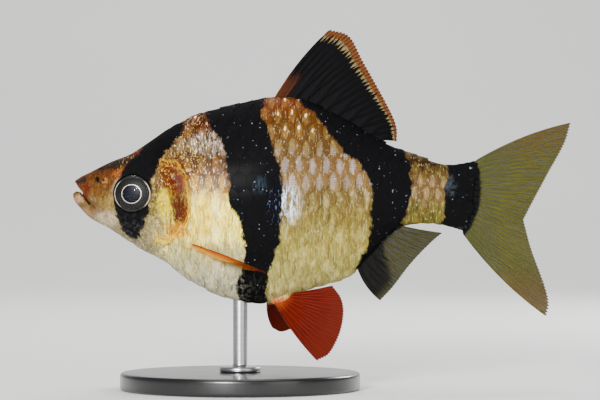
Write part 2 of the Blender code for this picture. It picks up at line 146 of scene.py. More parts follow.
# Its thickness and the share that it loses at the rear, its lift and where that is full, how deep its front
# sinks and how far its rear edge curls in, and the share of its height that each corner takes up
GILL_THICK = 0.6
GILL_THINS = 0.55
GILL_LIFT = 0.26
GILL_LIFTED = 0.55
GILL_SINKS = 0.1
GILL_CURL = 0.09
GILL_CORNER = 0.12
GILL_MESH = (40, 60)

# Scales: pitch along a row and between rows, before and behind the length over which they shrink
SCALES_START = 11.0
SCALE_PITCH = (1.72, 1.4)
ROW_PITCH = (2.2, 1.5)
SCALES_SHRINK = (26, 49)
ROW_LINE = ((11.0, 0.4), (16.0, -0.1), (30.0, -0.3), (42.0, 0.5), (50.75, 0.0))
# Where the scales start, against h
SCALE_FROM = (
    (-13.0, 15.5), (-9.5, 12.6), (-7.2, 11.2), (-5.9, 12.4), (-4.4, 14.0), (-2.5, 14.85), (-0.25, 15.15),
    (2.0, 14.85), (3.9, 14.0), (5.25, 12.4), (8.9, 12.2), (13.0, 13.0),
)
# What scales leave free: at the coat's start, at the tail's base, and at back and belly as a share of a row
SCALE_GAP = 0.1
TAIL_GAP = 0.7
ROW_GAP = 0.1
# Half sizes, in mm and as a share of a row. A scale lifts from its root to its free edge, is crowned across,
# is thinner at its rim by a share, and has its bed a share of the coat's depth down
SCALE_HALF_LENGTH = 1.3
SCALE_HALF_HEIGHT = 0.66
SCALE_LIFT = (-0.06, 0.11)
SCALE_CROWN = 0.03
SCALE_THICK = 0.045
SCALE_THINS = 0.4
SCALE_BED = 0.35
SCALE_SIZES = (0.96, 1.04)
SCALE_LEANS = (-0.03, 0.03)
SCALE_MESH = (4, 6)
MOST_ROWS = 9
SCALE_SEED = 11

# Fins. Half thickness is at the root and at the margin. A ray forks twice: how far its branches stand apart,
# in rays, and the share of its length over which they part
RAY_COLUMNS = 16
FIN_THICK = (0.16, 0.05)
PECTORAL_THICK = (0.13, 0.04)
RIDGE = 0.09
LOW_RIDGE = 0.05
FORK = 0.25
FORK_SPAN = (0.08, 0.5)
TWIG = 0.125
TWIG_SPAN = (0.35, 0.85)
# The margin is notched between rays by a share of their length. The leading ray is stouter, over half a ray
NOTCH = 0.02
LEADING_RAY = (0.1, 0.5)
DORSAL_ROOT = (25.0, 38.3)
DORSAL_MARGIN = ((32.1, 20.85), (34.6, 20.0), (36.3, 16.9), (39.1, 11.8), (40.4, 8.9), (40.5, 6.8))
DORSAL_RAYS = 11
ANAL_ROOT = (35.7, 41.0)
ANAL_MARGIN = ((38.4, -13.1), (40.0, -11.4), (42.3, -8.4), (44.6, -6.0), (46.2, -4.6))
ANAL_RAYS = 8
CAUDAL_ROOT = (4.5, -4.75)
CAUDAL_UPPER_MARGIN = ((62.3, 9.2), (61.5, 6.5), (59.5, 2.8), (57.8, -0.3), (56.35, -3.0))
CAUDAL_LOWER_MARGIN = ((56.35, -3.0), (57.3, -6.6), (58.9, -11.0), (59.5, -13.4), (59.2, -15.1))
CAUDAL_RAYS = (10, 9)
CAUDAL_ROWS = 72
CAUDAL_SWAY = 0.7
# How much deeper the middle of its root reaches into the body, and how the rays of its two lobes bow
CAUDAL_BULGE = 0.9
CAUDAL_BOWS = ((-0.3, 0, 1.0), (-0.85, 0, -0.85))
PELVIC_RAYS = 9
PELVIC_ROWS = 48
# How far round the body from the belly line each pelvic fin stands, as a share of a whole turn
PELVIC_TURN = 0.042
PELVIC_LEFT_ROOT = (24.9, 26.9)
PELVIC_RIGHT_ROOT = (24.2, 26.2)
PELVIC_LEFT_MARGIN = (
    (30.5, -4.9, -20.35), (32.1, -4.6, -19.4), (33.4, -3.9, -16.9), (33.85, -3.4, -14.4),
    (33.5, -3.0, -12.6), (32.4, -2.7, -11.1),
)
PELVIC_RIGHT_MARGIN = (
    (24.9, 7.0, -16.8), (26.1, 7.5, -17.3), (27.7, 7.0, -16.6), (28.9, 5.8, -15.2), (29.2, 4.2, -13.7),
)
PECTORAL_ROOT = ((14.3, -5.75), (14.75, -6.6))
PECTORAL_RAYS = 13
PECTORAL_ROWS = 44
PECTORAL_MARGIN = ((24.5, 7.6, -9.45), (23.3, 7.4, -9.25), (21.3, 6.6, -8.95), (18.8, 5.35, -8.15))
# How deep each fin's root sinks into the body
ROOT_SINKS = 0.35
# Flesh at the root of a pectoral fin: (s, h), how deep it sinks, its radii, turn and tilt
PECTORAL_LUMP = ((14.4, -6.15), 0.12, (0.9, 0.3, 0.5), 0.25, 0.5)
# Flesh at the root of a pelvic fin: how far behind the root's middle and how deep, its radii and tilt
PELVIC_LUMP = (0.1, 0.05, (1.35, 0.5, 0.55), -0.35)

# Display stand
ROD_AT = 20.9
ROD_RADIUS = 0.9
ROD_SINKS = 1.0
ROD_BEVEL = 0.3
FOOT_RADIUS = 2.6
FOOT_HEIGHT = 0.7
BASE_RADIUS = 15.0
BASE_THICK = 2.2
BASE_BEVEL = 0.5

# Camera
LENS = 170.0
SENSOR = 36.0
VIEW_WIDTH = 75.0
VIEW_CENTRE = (28.375, -0.5)

# Studio: the backdrop's half width, front, rear and height and its bend, then each lamp's place, the point
# that it faces, its size and its watts
BACKDROP = (1200, -900, 800, 900)
BACKDROP_BEND = 400
FISH_MIDDLE = (0, 0, 24)
LAMPS = (
    ("key", (-100, -350, 120), FISH_MIDDLE, 95, 2.6),
    ("fill", (260, -300, 90), FISH_MIDDLE, 260, 0.35),
    ("top", (0, 60, 380), FISH_MIDDLE, 300, 0.9),
    ("rim", (190, 220, 160), FISH_MIDDLE, 120, 0.8),
    ("backdrop", (0, 250, 500), (0, 780, 120), 400, 3.0),
)
AMBIENT = ((0.9, 0.93, 1.0, 1), 0.28)


# Curves and the body's surface
def smooth_curve(points):
    """h as a function of s through the points, which never swings past them."""
    xs, ys = zip(*points)
    slopes = [(ys[i + 1] - ys[i]) / (xs[i + 1] - xs[i]) for i in range(len(xs) - 1)]
    tangents = [slopes[0]]
    for before, after in zip(slopes, slopes[1:]):
        tangents.append(2 * before * after / (before + after) if before * after > 0 else 0.0)
    tangents.append(slopes[-1])

    @lru_cache(maxsize=8192)
    def value(x):
        x = min(max(x, xs[0]), xs[-1])
        i = min(bisect_right(xs, x) - 1, len(xs) - 2)
        width = xs[i + 1] - xs[i]
        t = (x - xs[i]) / width
        rest = 1 - t
        return (
            ys[i] * rest * rest * (1 + 2 * t)
            + ys[i + 1] * t * t * (3 - 2 * t)
            + width * t * rest * (tangents[i] * rest - tangents[i + 1] * t)
        )

    return value


def distances(points):
    """How far along its line each point lies."""
    return [0.0, *accumulate((b - a).length for a, b in zip(points, points[1:]))]


def smooth_path(points, steps=12):
    """A point at a share from 0 to 1 of the length of a curve through the points."""
    knots = [Vector(p) for p in points]
    knots = [2 * knots[0] - knots[1], *knots, 2 * knots[-1] - knots[-2]]
    line = []
    for a, b, c, d in zip(knots, knots[1:], knots[2:], knots[3:]):
        square = 2 * a - 5 * b + 4 * c - d
        cube = 3 * b - a - 3 * c + d
        for k in range(steps):
            t = k / steps
            line.append(0.5 * (2 * b + (c - a) * t + square * t**2 + cube * t**3))
    line.append(knots[-2])
    reach = distances(line)

    def at(share):
        goal = min(max(share, 0.0), 1.0) * reach[-1]
        i = min(bisect_right(reach, goal) - 1, len(line) - 2)
        return line[i].lerp(line[i + 1], (goal - reach[i]) / (reach[i + 1] - reach[i]))

    return at


def flat_path(points):
    return smooth_path([(s, 0, h) for s, h in points])


def smooth_step(x, low, high):
    t = min(max((x - low) / (high - low), 0.0), 1.0)
    return t * t * (3 - 2 * t)


back = smooth_curve(BACK)
belly = smooth_curve(BELLY)
half_width = smooth_curve(HALF_WIDTH)
widest_line = smooth_curve(WIDEST_LINE)
back_power = smooth_curve(BACK_POWER)
belly_power = smooth_curve(BELLY_POWER)
row_line = smooth_curve(ROW_LINE)
scale_from = smooth_curve(SCALE_FROM)


def body_point(s, turn):
    """A skin point: turn runs from 0 at the back down the left flank to 0.5 at the belly and up to 1."""
    angle = TURN * (turn % 1.0)
    level = math.cos(angle)
    across = math.sin(angle)
    mid = widest_line(s)
    if level > 0:
        h = mid + level * (back(s) - mid)
        power = back_power(s)
    else:
        h = mid + level * (mid - belly(s))
        power = belly_power(s)
    y = half_width(s) * abs(across) ** power
    return Vector((s, -math.copysign(y, across), h))


def flank(s, h):
    """The half width of the body at that height."""
    mid = widest_line(s)
    upper = h > mid
    level = (h - mid) / (back(s) - mid if upper else mid - belly(s))
    power = back_power(s) if upper else belly_power(s)
    return half_width(s) * max(1 - level * level, 0.0) ** (power / 2)


def skin_at(s, h, side):
    """The skin point at that height on one side, and its outward direction."""
    step = 0.05
    here = Vector((s, side * flank(s, h), h))
    along = Vector((2 * step, side * (flank(s + step, h) - flank(s - step, h)), 0))
    down = Vector((0, side * (flank(s, h - step) - flank(s, h + step)), -2 * step))
    outward = along.cross(down).normalized()
    return here, outward * math.copysign(1, outward.y * side)


def distance_to_line(point, line):
    """How far a side-view point lies from a chain of straight pieces."""
    best = 1e9
    for a, b in zip(line, line[1:]):
        a, b = Vector(a), Vector(b)
        share = max(0.0, min(1.0, (point - a).dot(b - a) / (b - a).length_squared))
        best = min(best, (point - a.lerp(b, share)).length)
    return best


def bump(distance, width):
    return math.exp(-((distance / width) ** 2))


@lru_cache(maxsize=None)
def gill_rear_line():
    edge = smooth_path(GILL_REAR)
    return [tuple(edge(k / 24)) for k in range(25)]


def fold(distance, shape):
    height, away_from_line, width = shape
    return height * bump(distance - away_from_line, width)


def head_relief(s, h):
    """How far the folds of the head stand out from the plain body."""
    point = Vector((s, h))
    swell = fold(distance_to_line(point, LIP_LINE), LIP_FOLD)
    swell += fold(distance_to_line(point, MAXILLA_LINE), MAXILLA_FOLD)
    swell += fold((point - Vector(EYE_AT)).length - EYE_RADII[0], EYE_FOLD)
    swell += fold(distance_to_line(point, CHEEK_LINE), CHEEK_FOLD)
    for nostril in NOSTRILS:
        swell += fold((point - Vector(nostril)).length, NOSTRIL_FOLD)
    if s > GILL_FOLD_FROM:
        swell += fold(distance_to_line(point, gill_rear_line()), GILL_FOLD)
    return swell


def coat_depth(s, h):
    """How far the skin lies inside the solids: nothing on the head, the coat's depth where scales grow."""
    start = scale_from(h)
    return COAT_DEPTH * smooth_step(s, start - COAT_FADE, start + COAT_FADE)


def tail_edge(s, below_back):
    """How far the slant of the tail's base moves a point forward. below_back is 1 at the belly."""
    return TAIL_LEAN * below_back * smooth_step(s, LEAN_FROM, BODY_END)


# Pieces
def mesh_of(name, work):
    mesh = bpy.data.meshes.new(name)
    work.to_mesh(mesh)
    work.free()
    return mesh


def put(name, data):
    """A new object in the scene, unturned at the origin."""
    obj = bpy.data.objects.new(name, data)
    bpy.context.scene.collection.objects.link(obj)
    return obj


def keep(name, work, paint, slot, *nodes):
    """A finished bmesh in fish millimetres becomes a piece in the frame."""
    bmesh.ops.transform(work, matrix=TO_FRAME, verts=work.verts)
    work.normal_update()
    mesh = mesh_of(name, work)
    mesh.shade_smooth()
    mesh.set_sharp_from_angle(angle=SHARP_EDGE)
    mesh.materials.clear()
    mesh.materials.append(paint)
    piece = put(name, mesh)
    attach(piece, "root")
    if nodes:
        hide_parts(*nodes)


def rough(name, work):
    """A bmesh as a working object in fish millimetres, for modifiers to read."""
    work.normal_update()
    bmesh.ops.recalc_face_normals(work, faces=work.faces)
    return put(name, mesh_of(name, work))


def outer(raised):
    return {item for item in raised["geom"] if isinstance(item, bmesh.types.BMVert)}


def close_rims(work):
    rims = [edge for edge in work.edges if edge.is_boundary]
    bmesh.ops.holes_fill(work, edges=rims, sides=0)


def lump(work, centre, radii, turn=0.0, tilt=0.0, around=24):
    """A soft ellipsoid, turned about Z and tilted about Y."""
    place = Matrix.Translation(centre) @ Matrix.Rotation(turn, 4, "Z") @ Matrix.Rotation(tilt, 4, "Y")
    ball(work, place, radii, around)


def ball(work, place, radii, around):
    bmesh.ops.create_uvsphere(
        work, u_segments=around, v_segments=around // 2, radius=1, matrix=place @ Matrix.Diagonal((*radii, 1))
    )


def spun(outline, steps):
    """A bmesh made by turning an outline of (radius, height) about Z."""
    work = bmesh.new()
    line = [work.verts.new((radius, 0, height)) for radius, height in outline]
    edges = [work.edges.new(pair) for pair in zip(line, line[1:])]
    bmesh.ops.spin(
        work, geom=line + edges, cent=(0, 0, 0), axis=(0, 0, 1), angle=TURN, steps=steps, use_merge=True
    )
    bmesh.ops.remove_doubles(work, verts=work.verts, dist=1e-4)
    return work


# The skin
def add_body(work):
    """The body as a closed tube from the snout to the tail's base, with the folds of the head."""
    made = bmesh.ops.create_grid(work, x_segments=BODY_AROUND, y_segments=BODY_RINGS, size=0.5)["verts"]
    for vert in made:
        turn = round((vert.co.x + 0.5) * BODY_AROUND) / BODY_AROUND
        share = round((vert.co.y + 0.5) * BODY_RINGS) / BODY_RINGS
        s = BODY_END * share ** SNOUT_CROWDING
        rest = body_point(s, turn)
        s -= tail_edge(s, (back(s) - rest.z) / (back(s) - belly(s) + 1e-6))
        point = body_point(s, turn)
        outward = skin_at(s, point.z * 0.98, -1 if point.y < 0 else 1)[1]
        outward.y *= min(abs(point.y) / NEAR_MIDLINE, 1.0)
        if 0 < share < 1:
            lift = -coat_depth(s, point.z)
            if s < FOLDS_END:
                lift += head_relief(s, point.z)
            point += outward * lift
        vert.co = point
    bmesh.ops.remove_doubles(work, verts=work.verts, dist=1e-4)
    close_rims(work)


def gill_sheet(work, side):
    """The flap over the gills: its front sinks into the cheek and its rear edge stands free."""
    columns, rows = GILL_MESH
    made = bmesh.ops.create_grid(work, x_segments=columns, y_segments=rows, size=0.5)
    faces = {face for vert in made["verts"] for face in vert.link_faces}
    raised = outer(bmesh.ops.extrude_face_region(work, geom=list(faces)))
    front, rear = smooth_path(GILL_FRONT), smooth_path(GILL_REAR)
    for vert in [*made["verts"], *raised]:
        t, s = vert.co.x + 0.5, vert.co.y + 0.5
        flat = front(1 - s).lerp(rear(1 - s), t)
        here, outward = skin_at(flat.x, flat.y, side)
        # Rounded towards the rim, so that the free edge is thin and soft
        rim = min(smooth_step(s, 0, GILL_CORNER), smooth_step(1 - s, 0, GILL_CORNER))
        lift = -GILL_SINKS + (GILL_LIFT + GILL_SINKS) * smooth_step(t, 0.0, GILL_LIFTED) * rim
        if vert in raised:
            lift -= GILL_CURL * smooth_step(t, 0.86, 1.0)
        else:
            lift -= GILL_THICK * (1 - GILL_THINS * smooth_step(t, 0.7, 1.0))
        vert.co = here + outward * lift


def add_flesh(work):
    """The gill covers, and the fleshy roots of the pectoral and the pelvic fins."""
    place, sinks, radii, turn, tilt = PECTORAL_LUMP
    for side in (-1, 1):
        gill_sheet(work, side)
        here, outward = skin_at(*place, side)
        lump(work, here - outward * sinks, radii, side * turn, tilt)
    behind, sinks, radii, tilt = PELVIC_LUMP
    for side, (start, end) in ((-1, PELVIC_LEFT_ROOT), (1, PELVIC_RIGHT_ROOT)):
        middle = body_point((start + end) / 2 + behind, 0.5 + side * PELVIC_TURN)
        lump(work, middle - Vector((0, 0, sinks)), radii, 0, tilt)


def push_out(name, outline, reach):
    """A flat outline in the side view, pushed through the head from side to side."""
    work = bmesh.new()
    face = work.faces.new([work.verts.new((s, -reach, h)) for s, h in outline])
    far = outer(bmesh.ops.extrude_face_region(work, geom=[face]))
    bmesh.ops.translate(work, vec=(0, 2 * reach, 0), verts=list(far))
    bmesh.ops.triangulate(work, faces=work.faces)
    return rough(name, work)


def eye_frame(side):
    """Where an eye sits: its middle, with the local pole pointing out of the head."""
    here = skin_at(*EYE_AT, side)[0]
    depth = EYE_STANDS_OUT - EYE_RADII[1]
    centre = (here.x - math.sin(EYE_TURN) * depth, side * (abs(here.y) + depth), here.z)
    turn = Matrix.Rotation(side * EYE_TURN, 4, "Z")
    pole = Matrix.Rotation(math.radians(-90) * side, 4, "X")
    return Matrix.Translation(centre) @ turn @ pole


def socket(side):
    work = bmesh.new()
    radii = [r + SOCKET_GAP for r in (EYE_RADII[0], EYE_RADII[2], EYE_RADII[1])]
    ball(work, eye_frame(side), radii, 64)
    return rough("socket", work)


def nostril(side, s, h):
    work = bmesh.new()
    lump(work, skin_at(s, h, side)[0], NOSTRIL_RADII, tilt=NOSTRIL_TILT, around=20)
    return rough("nostril", work)


def cut_out(skin, tools):
    for tool in tools:
        cut = skin.modifiers.new(tool.name, "BOOLEAN")
        cut.operation = "DIFFERENCE"
        cut.solver = "MANIFOLD"
        cut.object = tool


def soften_lips(work):
    """Rounds the cut edges of the mouth into lips."""
    outline = [*MOUTH, MOUTH[0]]
    near = []
    for vert in work.verts:
        if vert.co.x < LIPS_END and distance_to_line(Vector((vert.co.x, vert.co.z)), outline) < LIP_REACH:
            near.append(vert)
    for _ in range(LIP_PASSES):
        bmesh.ops.smooth_vert(work, verts=near, factor=0.5, use_axis_x=True, use_axis_y=True, use_axis_z=True)


def make_skin(paint, lining):
    work = bmesh.new()
    add_body(work)
    add_flesh(work)
    skin = rough("skin_rough", work)
    fuse = skin.modifiers.new("fuse", "REMESH")
    fuse.mode = "VOXEL"
    fuse.voxel_size = VOXEL
    soften = skin.modifiers.new("soften", "SMOOTH")
    soften.factor = 0.5
    soften.iterations = SMOOTH_PASSES
    tools = [push_out("mouth", MOUTH, half_width(MOUTH[4][0]) + 1)]
    for side in (-1, 1):
        tools.append(socket(side))
        tools += [nostril(side, s, h) for s, h in NOSTRILS]
    cut_out(skin, tools)
    whole = bpy.data.meshes.new_from_object(skin.evaluated_get(bpy.context.evaluated_depsgraph_get()))
    for obj in [skin, *tools]:
        bpy.data.objects.remove(obj)
    work = bmesh.new()
    work.from_mesh(whole)
    bmesh.ops.dissolve_degenerate(work, edges=work.edges, dist=0.01)
    soften_lips(work)
    bmesh.ops.triangulate(work, faces=[face for face in work.faces if len(face.verts) > 4])
    keep("skin", work, paint, "skin", "head", "torso", "tail_stem", "gill_cover_left", "gill_cover_right")
    work = bmesh.new()
    lump(work, *MOUTH_LINING, tilt=MOUTH_SLOPE)
    keep("mouth_lining", work, lining, "skin")


# The scales
class Flank:
    """Finds points on the left flank by s and by the distance along the skin above the middle row."""

    STEP = 0.25
    TURNS = 80

    def __init__(self):
        self.rows = [self.measure(k * self.STEP) for k in range(int(BODY_END / self.STEP) + 1)]

    def measure(self, s):
        """Distances from the middle row down the flank, from the back to the belly."""
        points = [body_point(s, 0.5 * k / self.TURNS) for k in range(self.TURNS + 1)]
        reach = distances(points)
        level = row_line(s)
        middle = next(k for k, point in enumerate(points) if point.z <= level)
        return [middle_reach - reach[middle] for middle_reach in reach]

    def turn(self, s, up):
        """The turn at a distance above the middle row, held inside the flank."""
        place = min(max(s / self.STEP, 0.0), len(self.rows) - 1.001)
        found = []
        for row in (self.rows[int(place)], self.rows[int(place) + 1]):
            down = min(max(-up, row[0]), row[-1])
            k = min(bisect_right(row, down) - 1, self.TURNS - 1)
            found.append((k + (down - row[k]) / (row[k + 1] - row[k])) * 0.5 / self.TURNS)
        share = place - int(place)
        return found[0] * (1 - share) + found[1] * share

    def limits(self, s):
        """The highest and lowest distances that the flank holds at s."""
        row = self.rows[int(min(s / self.STEP, len(self.rows) - 1))]
        return -row[0], -row[-1]

    def point(self, s, up):
        return body_point(s, self.turn(s, up))

    def raised(self, s, up, lift):
        """A point lifted off the flank along its outward direction."""
        here = self.point(s, up)
        along = self.point(s + 0.1, up) - self.point(s - 0.1, up)
        over = self.point(s, up + 0.1) - self.point(s, up - 0.1)
        outward = along.cross(over)
        if outward.length < 1e-6:
            outward = Vector((0, -1, 0))
        outward.normalize()
        if outward.y > 0:
            outward = -outward
        return here + outward * lift


def scale_blank():
    """One scale as a thin closed plate: a disc of radius 1 with its outer face at height 1."""
    work = bmesh.new()
    bmesh.ops.create_grid(work, x_segments=SCALE_MESH[0], y_segments=SCALE_MESH[1], size=1)
    raised = outer(bmesh.ops.extrude_face_region(work, geom=work.faces[:]))
    for vert in work.verts:
        x, y = vert.co.x, vert.co.y
        vert.co.x = x * math.sqrt(1 - y * y / 2)
        vert.co.y = y * math.sqrt(1 - x * x / 2)
        vert.co.z = 1 if vert in raised else 0
    bmesh.ops.recalc_face_normals(work, faces=work.faces)
    return mesh_of("scale_blank", work)


def scale_places(surface):
    """The middle of every scale on one flank, with the pitch of its place."""
    places = []
    s, column = SCALES_START, 0
    while s < BODY_END - 0.4:
        tailward = smooth_step(s, *SCALES_SHRINK)
        pitch = SCALE_PITCH[0] + (SCALE_PITCH[1] - SCALE_PITCH[0]) * tailward
        row_pitch = ROW_PITCH[0] + (ROW_PITCH[1] - ROW_PITCH[0]) * tailward
        top, bottom = surface.limits(s)
        for row in range(-MOST_ROWS, MOST_ROWS + 1):
            if (row + column) % 2:
                continue
            up = row * row_pitch
            if not bottom + ROW_GAP * row_pitch < up < top - ROW_GAP * row_pitch:
                continue
            h = surface.point(s, up).z
            slant = tail_edge(s, (back(s) - h) / (back(s) - belly(s)))
            if s > scale_from(h) + SCALE_GAP and s < BODY_END - slant - TAIL_GAP:
                places.append((s, up, pitch, row_pitch, column, row))
        s += pitch / 2
        column += 1
    return places


def add_scale(work, blank, surface, place, columns, rng):
    """Lays one scale on the flank. Its own UV spans the scale, and its vertices know the scale's home."""
    s, up, pitch, row_pitch, column, row = place
    start, faces_start = len(work.verts), len(work.faces)
    work.from_mesh(blank)
    work.verts.ensure_lookup_table()
    work.faces.ensure_lookup_table()
    flat = {vert: vert.co.copy() for vert in work.verts[start:]}
    size = rng.uniform(*SCALE_SIZES)
    lean = rng.uniform(*SCALE_LEANS)
    known = (s, surface.point(s, up).z, rng.random())
    home = work.verts.layers.float_vector["home"]
    half_length = SCALE_HALF_LENGTH * pitch / SCALE_PITCH[0] * size
    half_height = row_pitch * SCALE_HALF_HEIGHT * size
    for vert, (x, y, face) in flat.items():
        lift = SCALE_LIFT[0] + (SCALE_LIFT[1] - SCALE_LIFT[0]) * (x + 1) / 2 - COAT_DEPTH * SCALE_BED
        thick = SCALE_THICK * (1 - SCALE_THINS * (x * x + y * y))
        lift += SCALE_CROWN * (1 - y * y) - (1 - face) * thick
        vert.co = surface.raised(s + x * half_length + lean * y, up + y * half_height, lift)
        vert[home] = known
    own, bake = [work.loops.layers.uv[word] for word in ("own", "OFBake")]
    for face in work.faces[faces_start:]:
        for loop in face.loops:
            x, y, _ = flat[loop.vert]
            loop[own].uv = (x * 0.5 + 0.5, y * 0.5 + 0.5)
            # Each scale's patch keeps to its own cell of the unrolled flank
            loop[bake].uv = ((column + 0.5 + x * 0.9) / (columns + 1), (row + 10 + y * 0.45) / 20)


def make_scales(paint):
    surface = Flank()
    blank = scale_blank()
    places = scale_places(surface)
    columns = max(place[4] for place in places) + 1
    rng = random.Random(SCALE_SEED)
    work = bmesh.new()
    work.loops.layers.uv.new("OFBake")
    work.loops.layers.uv.new("own")
    work.verts.layers.float_vector.new("home")
    for place in places:
        add_scale(work, blank, surface, place, columns, rng)
    left = bpy.data.meshes.new("scales_left")
    work.normal_update()
    work.to_mesh(left)
    bmesh.ops.scale(work, vec=(1, -1, 1), verts=work.verts)
    bmesh.ops.reverse_faces(work, faces=work.faces)
    keep("scales_right", work, paint, "skin")
    work = bmesh.new()
    work.from_mesh(left)
    keep("scales_left", work, paint, "skin")


# The fins
def ray_height(place, s):
    """How high a ray stands at a place between rays, from 0 to 1: it forks twice on its way to the margin."""
    across = place - round(place)
    fork = FORK * smooth_step(s, *FORK_SPAN)
    twig = TWIG * smooth_step(s, *TWIG_SPAN)
    width = 0.17 - 0.1 * s
    return max(bump(across - side * fork - end * twig, width) for side in (-1, 1) for end in (-1, 1))


def fin_uv(work, flat, raised, columns, rows):
    """The share across and along the fin, and a second UV with the two faces side by side."""
    bake = work.loops.layers.uv.new("OFBake")
    sheet = work.loops.layers.uv.new("sheet")
    for face in work.faces:
        half = 0.5 if all(loop.vert in raised for loop in face.loops) else 0.0
        for loop in face.loops:
            column, row = flat[loop.vert]
            loop[sheet].uv = (column / columns, row / rows)
            loop[bake].uv = (0.01 + column / columns * 0.98, half + 0.005 + row / rows * 0.49)


def make_fin(
    node, rays, rows, root, margin, bow, paint, slot, thick=FIN_THICK, ridge=RIDGE, sway=lambda t, s: 0.0
):
    """A thin closed fin whose forking rays stand up on both faces.

    root and margin give the points at a share t across the fin. bow bends the rays between them, and sway
    moves a point sideways at the shares t across and s along.
    """
    columns = (rays - 1) * RAY_COLUMNS
    root, margin, bow = lru_cache(None)(root), lru_cache(None)(margin), lru_cache(None)(bow)

    def centre(t, s):
        a, b = root(t), margin(t)
        mid = a.lerp(b, 0.5) + bow(t)
        point = a.lerp(mid, s).lerp(mid.lerp(b, s), s)
        point.y += sway(t, s)
        return point

    work = bmesh.new()
    bmesh.ops.create_grid(work, x_segments=columns, y_segments=rows, size=0.5)
    raised = outer(bmesh.ops.extrude_face_region(work, geom=work.faces[:]))
    flat = {}
    for vert in work.verts:
        flat[vert] = (round((vert.co.x + 0.5) * columns), round((vert.co.y + 0.5) * rows))
    fin_uv(work, flat, raised, columns, rows)
    for vert in work.verts:
        column, row = flat[vert]
        t, s = column / columns, row / rows
        height = ray_height(column / RAY_COLUMNS, s)
        pulled = s * (1 - NOTCH * (1 - height) * s)
        here = centre(t, pulled)
        before, after = max(column - 1, 0) / columns, min(column + 1, columns) / columns
        across = centre(after, s) - centre(before, s)
        along = centre(t, min(s + 0.02, 1)) - centre(t, max(s - 0.02, 0))
        normal = across.cross(along).normalized()
        half = thick[0] + (thick[1] - thick[0]) * s ** 0.6
        half += ridge * height * (1 - 0.65 * s) * smooth_step(s, 0, 0.1)
        half += LEADING_RAY[0] * (1 - s) * bump(column / RAY_COLUMNS, LEADING_RAY[1])
        vert.co = here + normal * half * (1 if vert in raised else -1)
    bmesh.ops.recalc_face_normals(work, faces=work.faces)
    keep(f"{node}_sheet", work, paint, slot, node)


def edge_fin(node, rays, profile, side, ends, margin, paint, slot, rows, lean, fade, sway):
    """A fin that stands on the back (side 1) or hangs from the belly (side -1), its rays bent by lean."""
    start, end = ends

    def root(t):
        """A point just inside the profile, square to it."""
        s = start + (end - start) * t
        slope = (profile(s + 0.05) - profile(s - 0.05)) / 0.1
        out = Vector((-slope, 0, 1)).normalized() * side * -ROOT_SINKS
        return Vector((s, 0, profile(s))) + out

    make_fin(
        node, rays, rows, root, flat_path(margin), lambda t: Vector(lean) * (1 - fade * t), paint, slot,
        sway=lambda t, s: sway * s * s * math.sin(math.pi * t),
    )


def caudal_lobe(node, rays, first, last, margin, bow, paint):
    """One lobe of the tail fin, between two shares of its root."""
    top, bottom = CAUDAL_ROOT

    def root(t):
        share = first + (last - first) * t
        sinks = ROOT_SINKS + CAUDAL_BULGE * math.sin(math.pi * share)
        return Vector((BODY_END - sinks - TAIL_LEAN * share, 0, top + (bottom - top) * share))

    def sway(t, s):
        share = first + (last - first) * t
        return CAUDAL_SWAY * s * s * math.sin(2 * math.pi * share)

    make_fin(node, rays, CAUDAL_ROWS, root, flat_path(margin), bow, paint, "clear_fin", sway=sway)


def caudal_fin(upper_paint, lower_paint):
    """Both lobes of the tail fin, which meet along the middle ray."""
    upper, lower = CAUDAL_RAYS
    share = upper / (upper + lower)
    caudal_lobe(
        "caudal_fin_upper", upper, 0.0, share, CAUDAL_UPPER_MARGIN,
        lambda t: Vector(CAUDAL_BOWS[0]) * (1 - t), upper_paint,
    )
    caudal_lobe(
        "caudal_fin_lower", lower, share, 1.0, CAUDAL_LOWER_MARGIN,
        lambda t: Vector(CAUDAL_BOWS[1]) * t, lower_paint,
    )


def pelvic_fin(word, side, ends, margin, paint):
    start, end = ends
    turn = 0.5 + side * PELVIC_TURN

    def root(t):
        s = start + (end - start) * t
        here = body_point(s, turn)
        beside = body_point(s, turn + 0.01) - body_point(s, turn - 0.01)
        along = body_point(s + 0.1, turn) - body_point(s - 0.1, turn)
        out = beside.cross(along).normalized()
        return here - out * math.copysign(ROOT_SINKS, -out.z)

    make_fin(
        f"pelvic_fin_{word}", PELVIC_RAYS, PELVIC_ROWS, root, smooth_path(margin),
        lambda t: Vector((-0.5, side * 0.5 * (1 - t), -0.5 + 0.3 * t)), paint, "red_fin", ridge=LOW_RIDGE,
    )


def pectoral_fin(word, side, paint):
    top, bottom = Vector(PECTORAL_ROOT[0]), Vector(PECTORAL_ROOT[1])

    def root(t):
        flat = top.lerp(bottom, t)
        here, outward = skin_at(flat.x, flat.y, side)
        return here - outward * ROOT_SINKS

    make_fin(
        f"pectoral_fin_{word}", PECTORAL_RAYS, PECTORAL_ROWS, root,
        smooth_path([(s, side * y, h) for s, y, h in PECTORAL_MARGIN]),
        lambda t: Vector((0, side * 0.45, 0.25 - 0.3 * t)), paint, "pectoral", PECTORAL_THICK, LOW_RIDGE,
    )


# The eyes
def eye_shell(name, side, shell, paint, *nodes):
    """A dome about the eye's middle from a latitude up, closed underneath."""
    low, wide, deep = shell
    around, steps = SHELL_MESH
    arc = [math.radians(low + (90 - low) * k / steps) for k in range(steps + 1)]
    work = spun([(math.cos(a), math.sin(a)) for a in arc], around)
    close_rims(work)
    bmesh.ops.recalc_face_normals(work, faces=work.faces)
    disc = work.loops.layers.uv.new("disc")
    for face in work.faces:
        for loop in face.loops:
            loop[disc].uv = (loop.vert.co.x * 0.5 + 0.5, loop.vert.co.y * 0.5 + 0.5)
    radii = (EYE_RADII[0] * wide, EYE_RADII[2] * wide, EYE_RADII[1] * deep, 1)
    bmesh.ops.transform(work, matrix=eye_frame(side) @ Matrix.Diagonal(radii), verts=work.verts)
    keep(name, work, paint, "eye", *nodes)


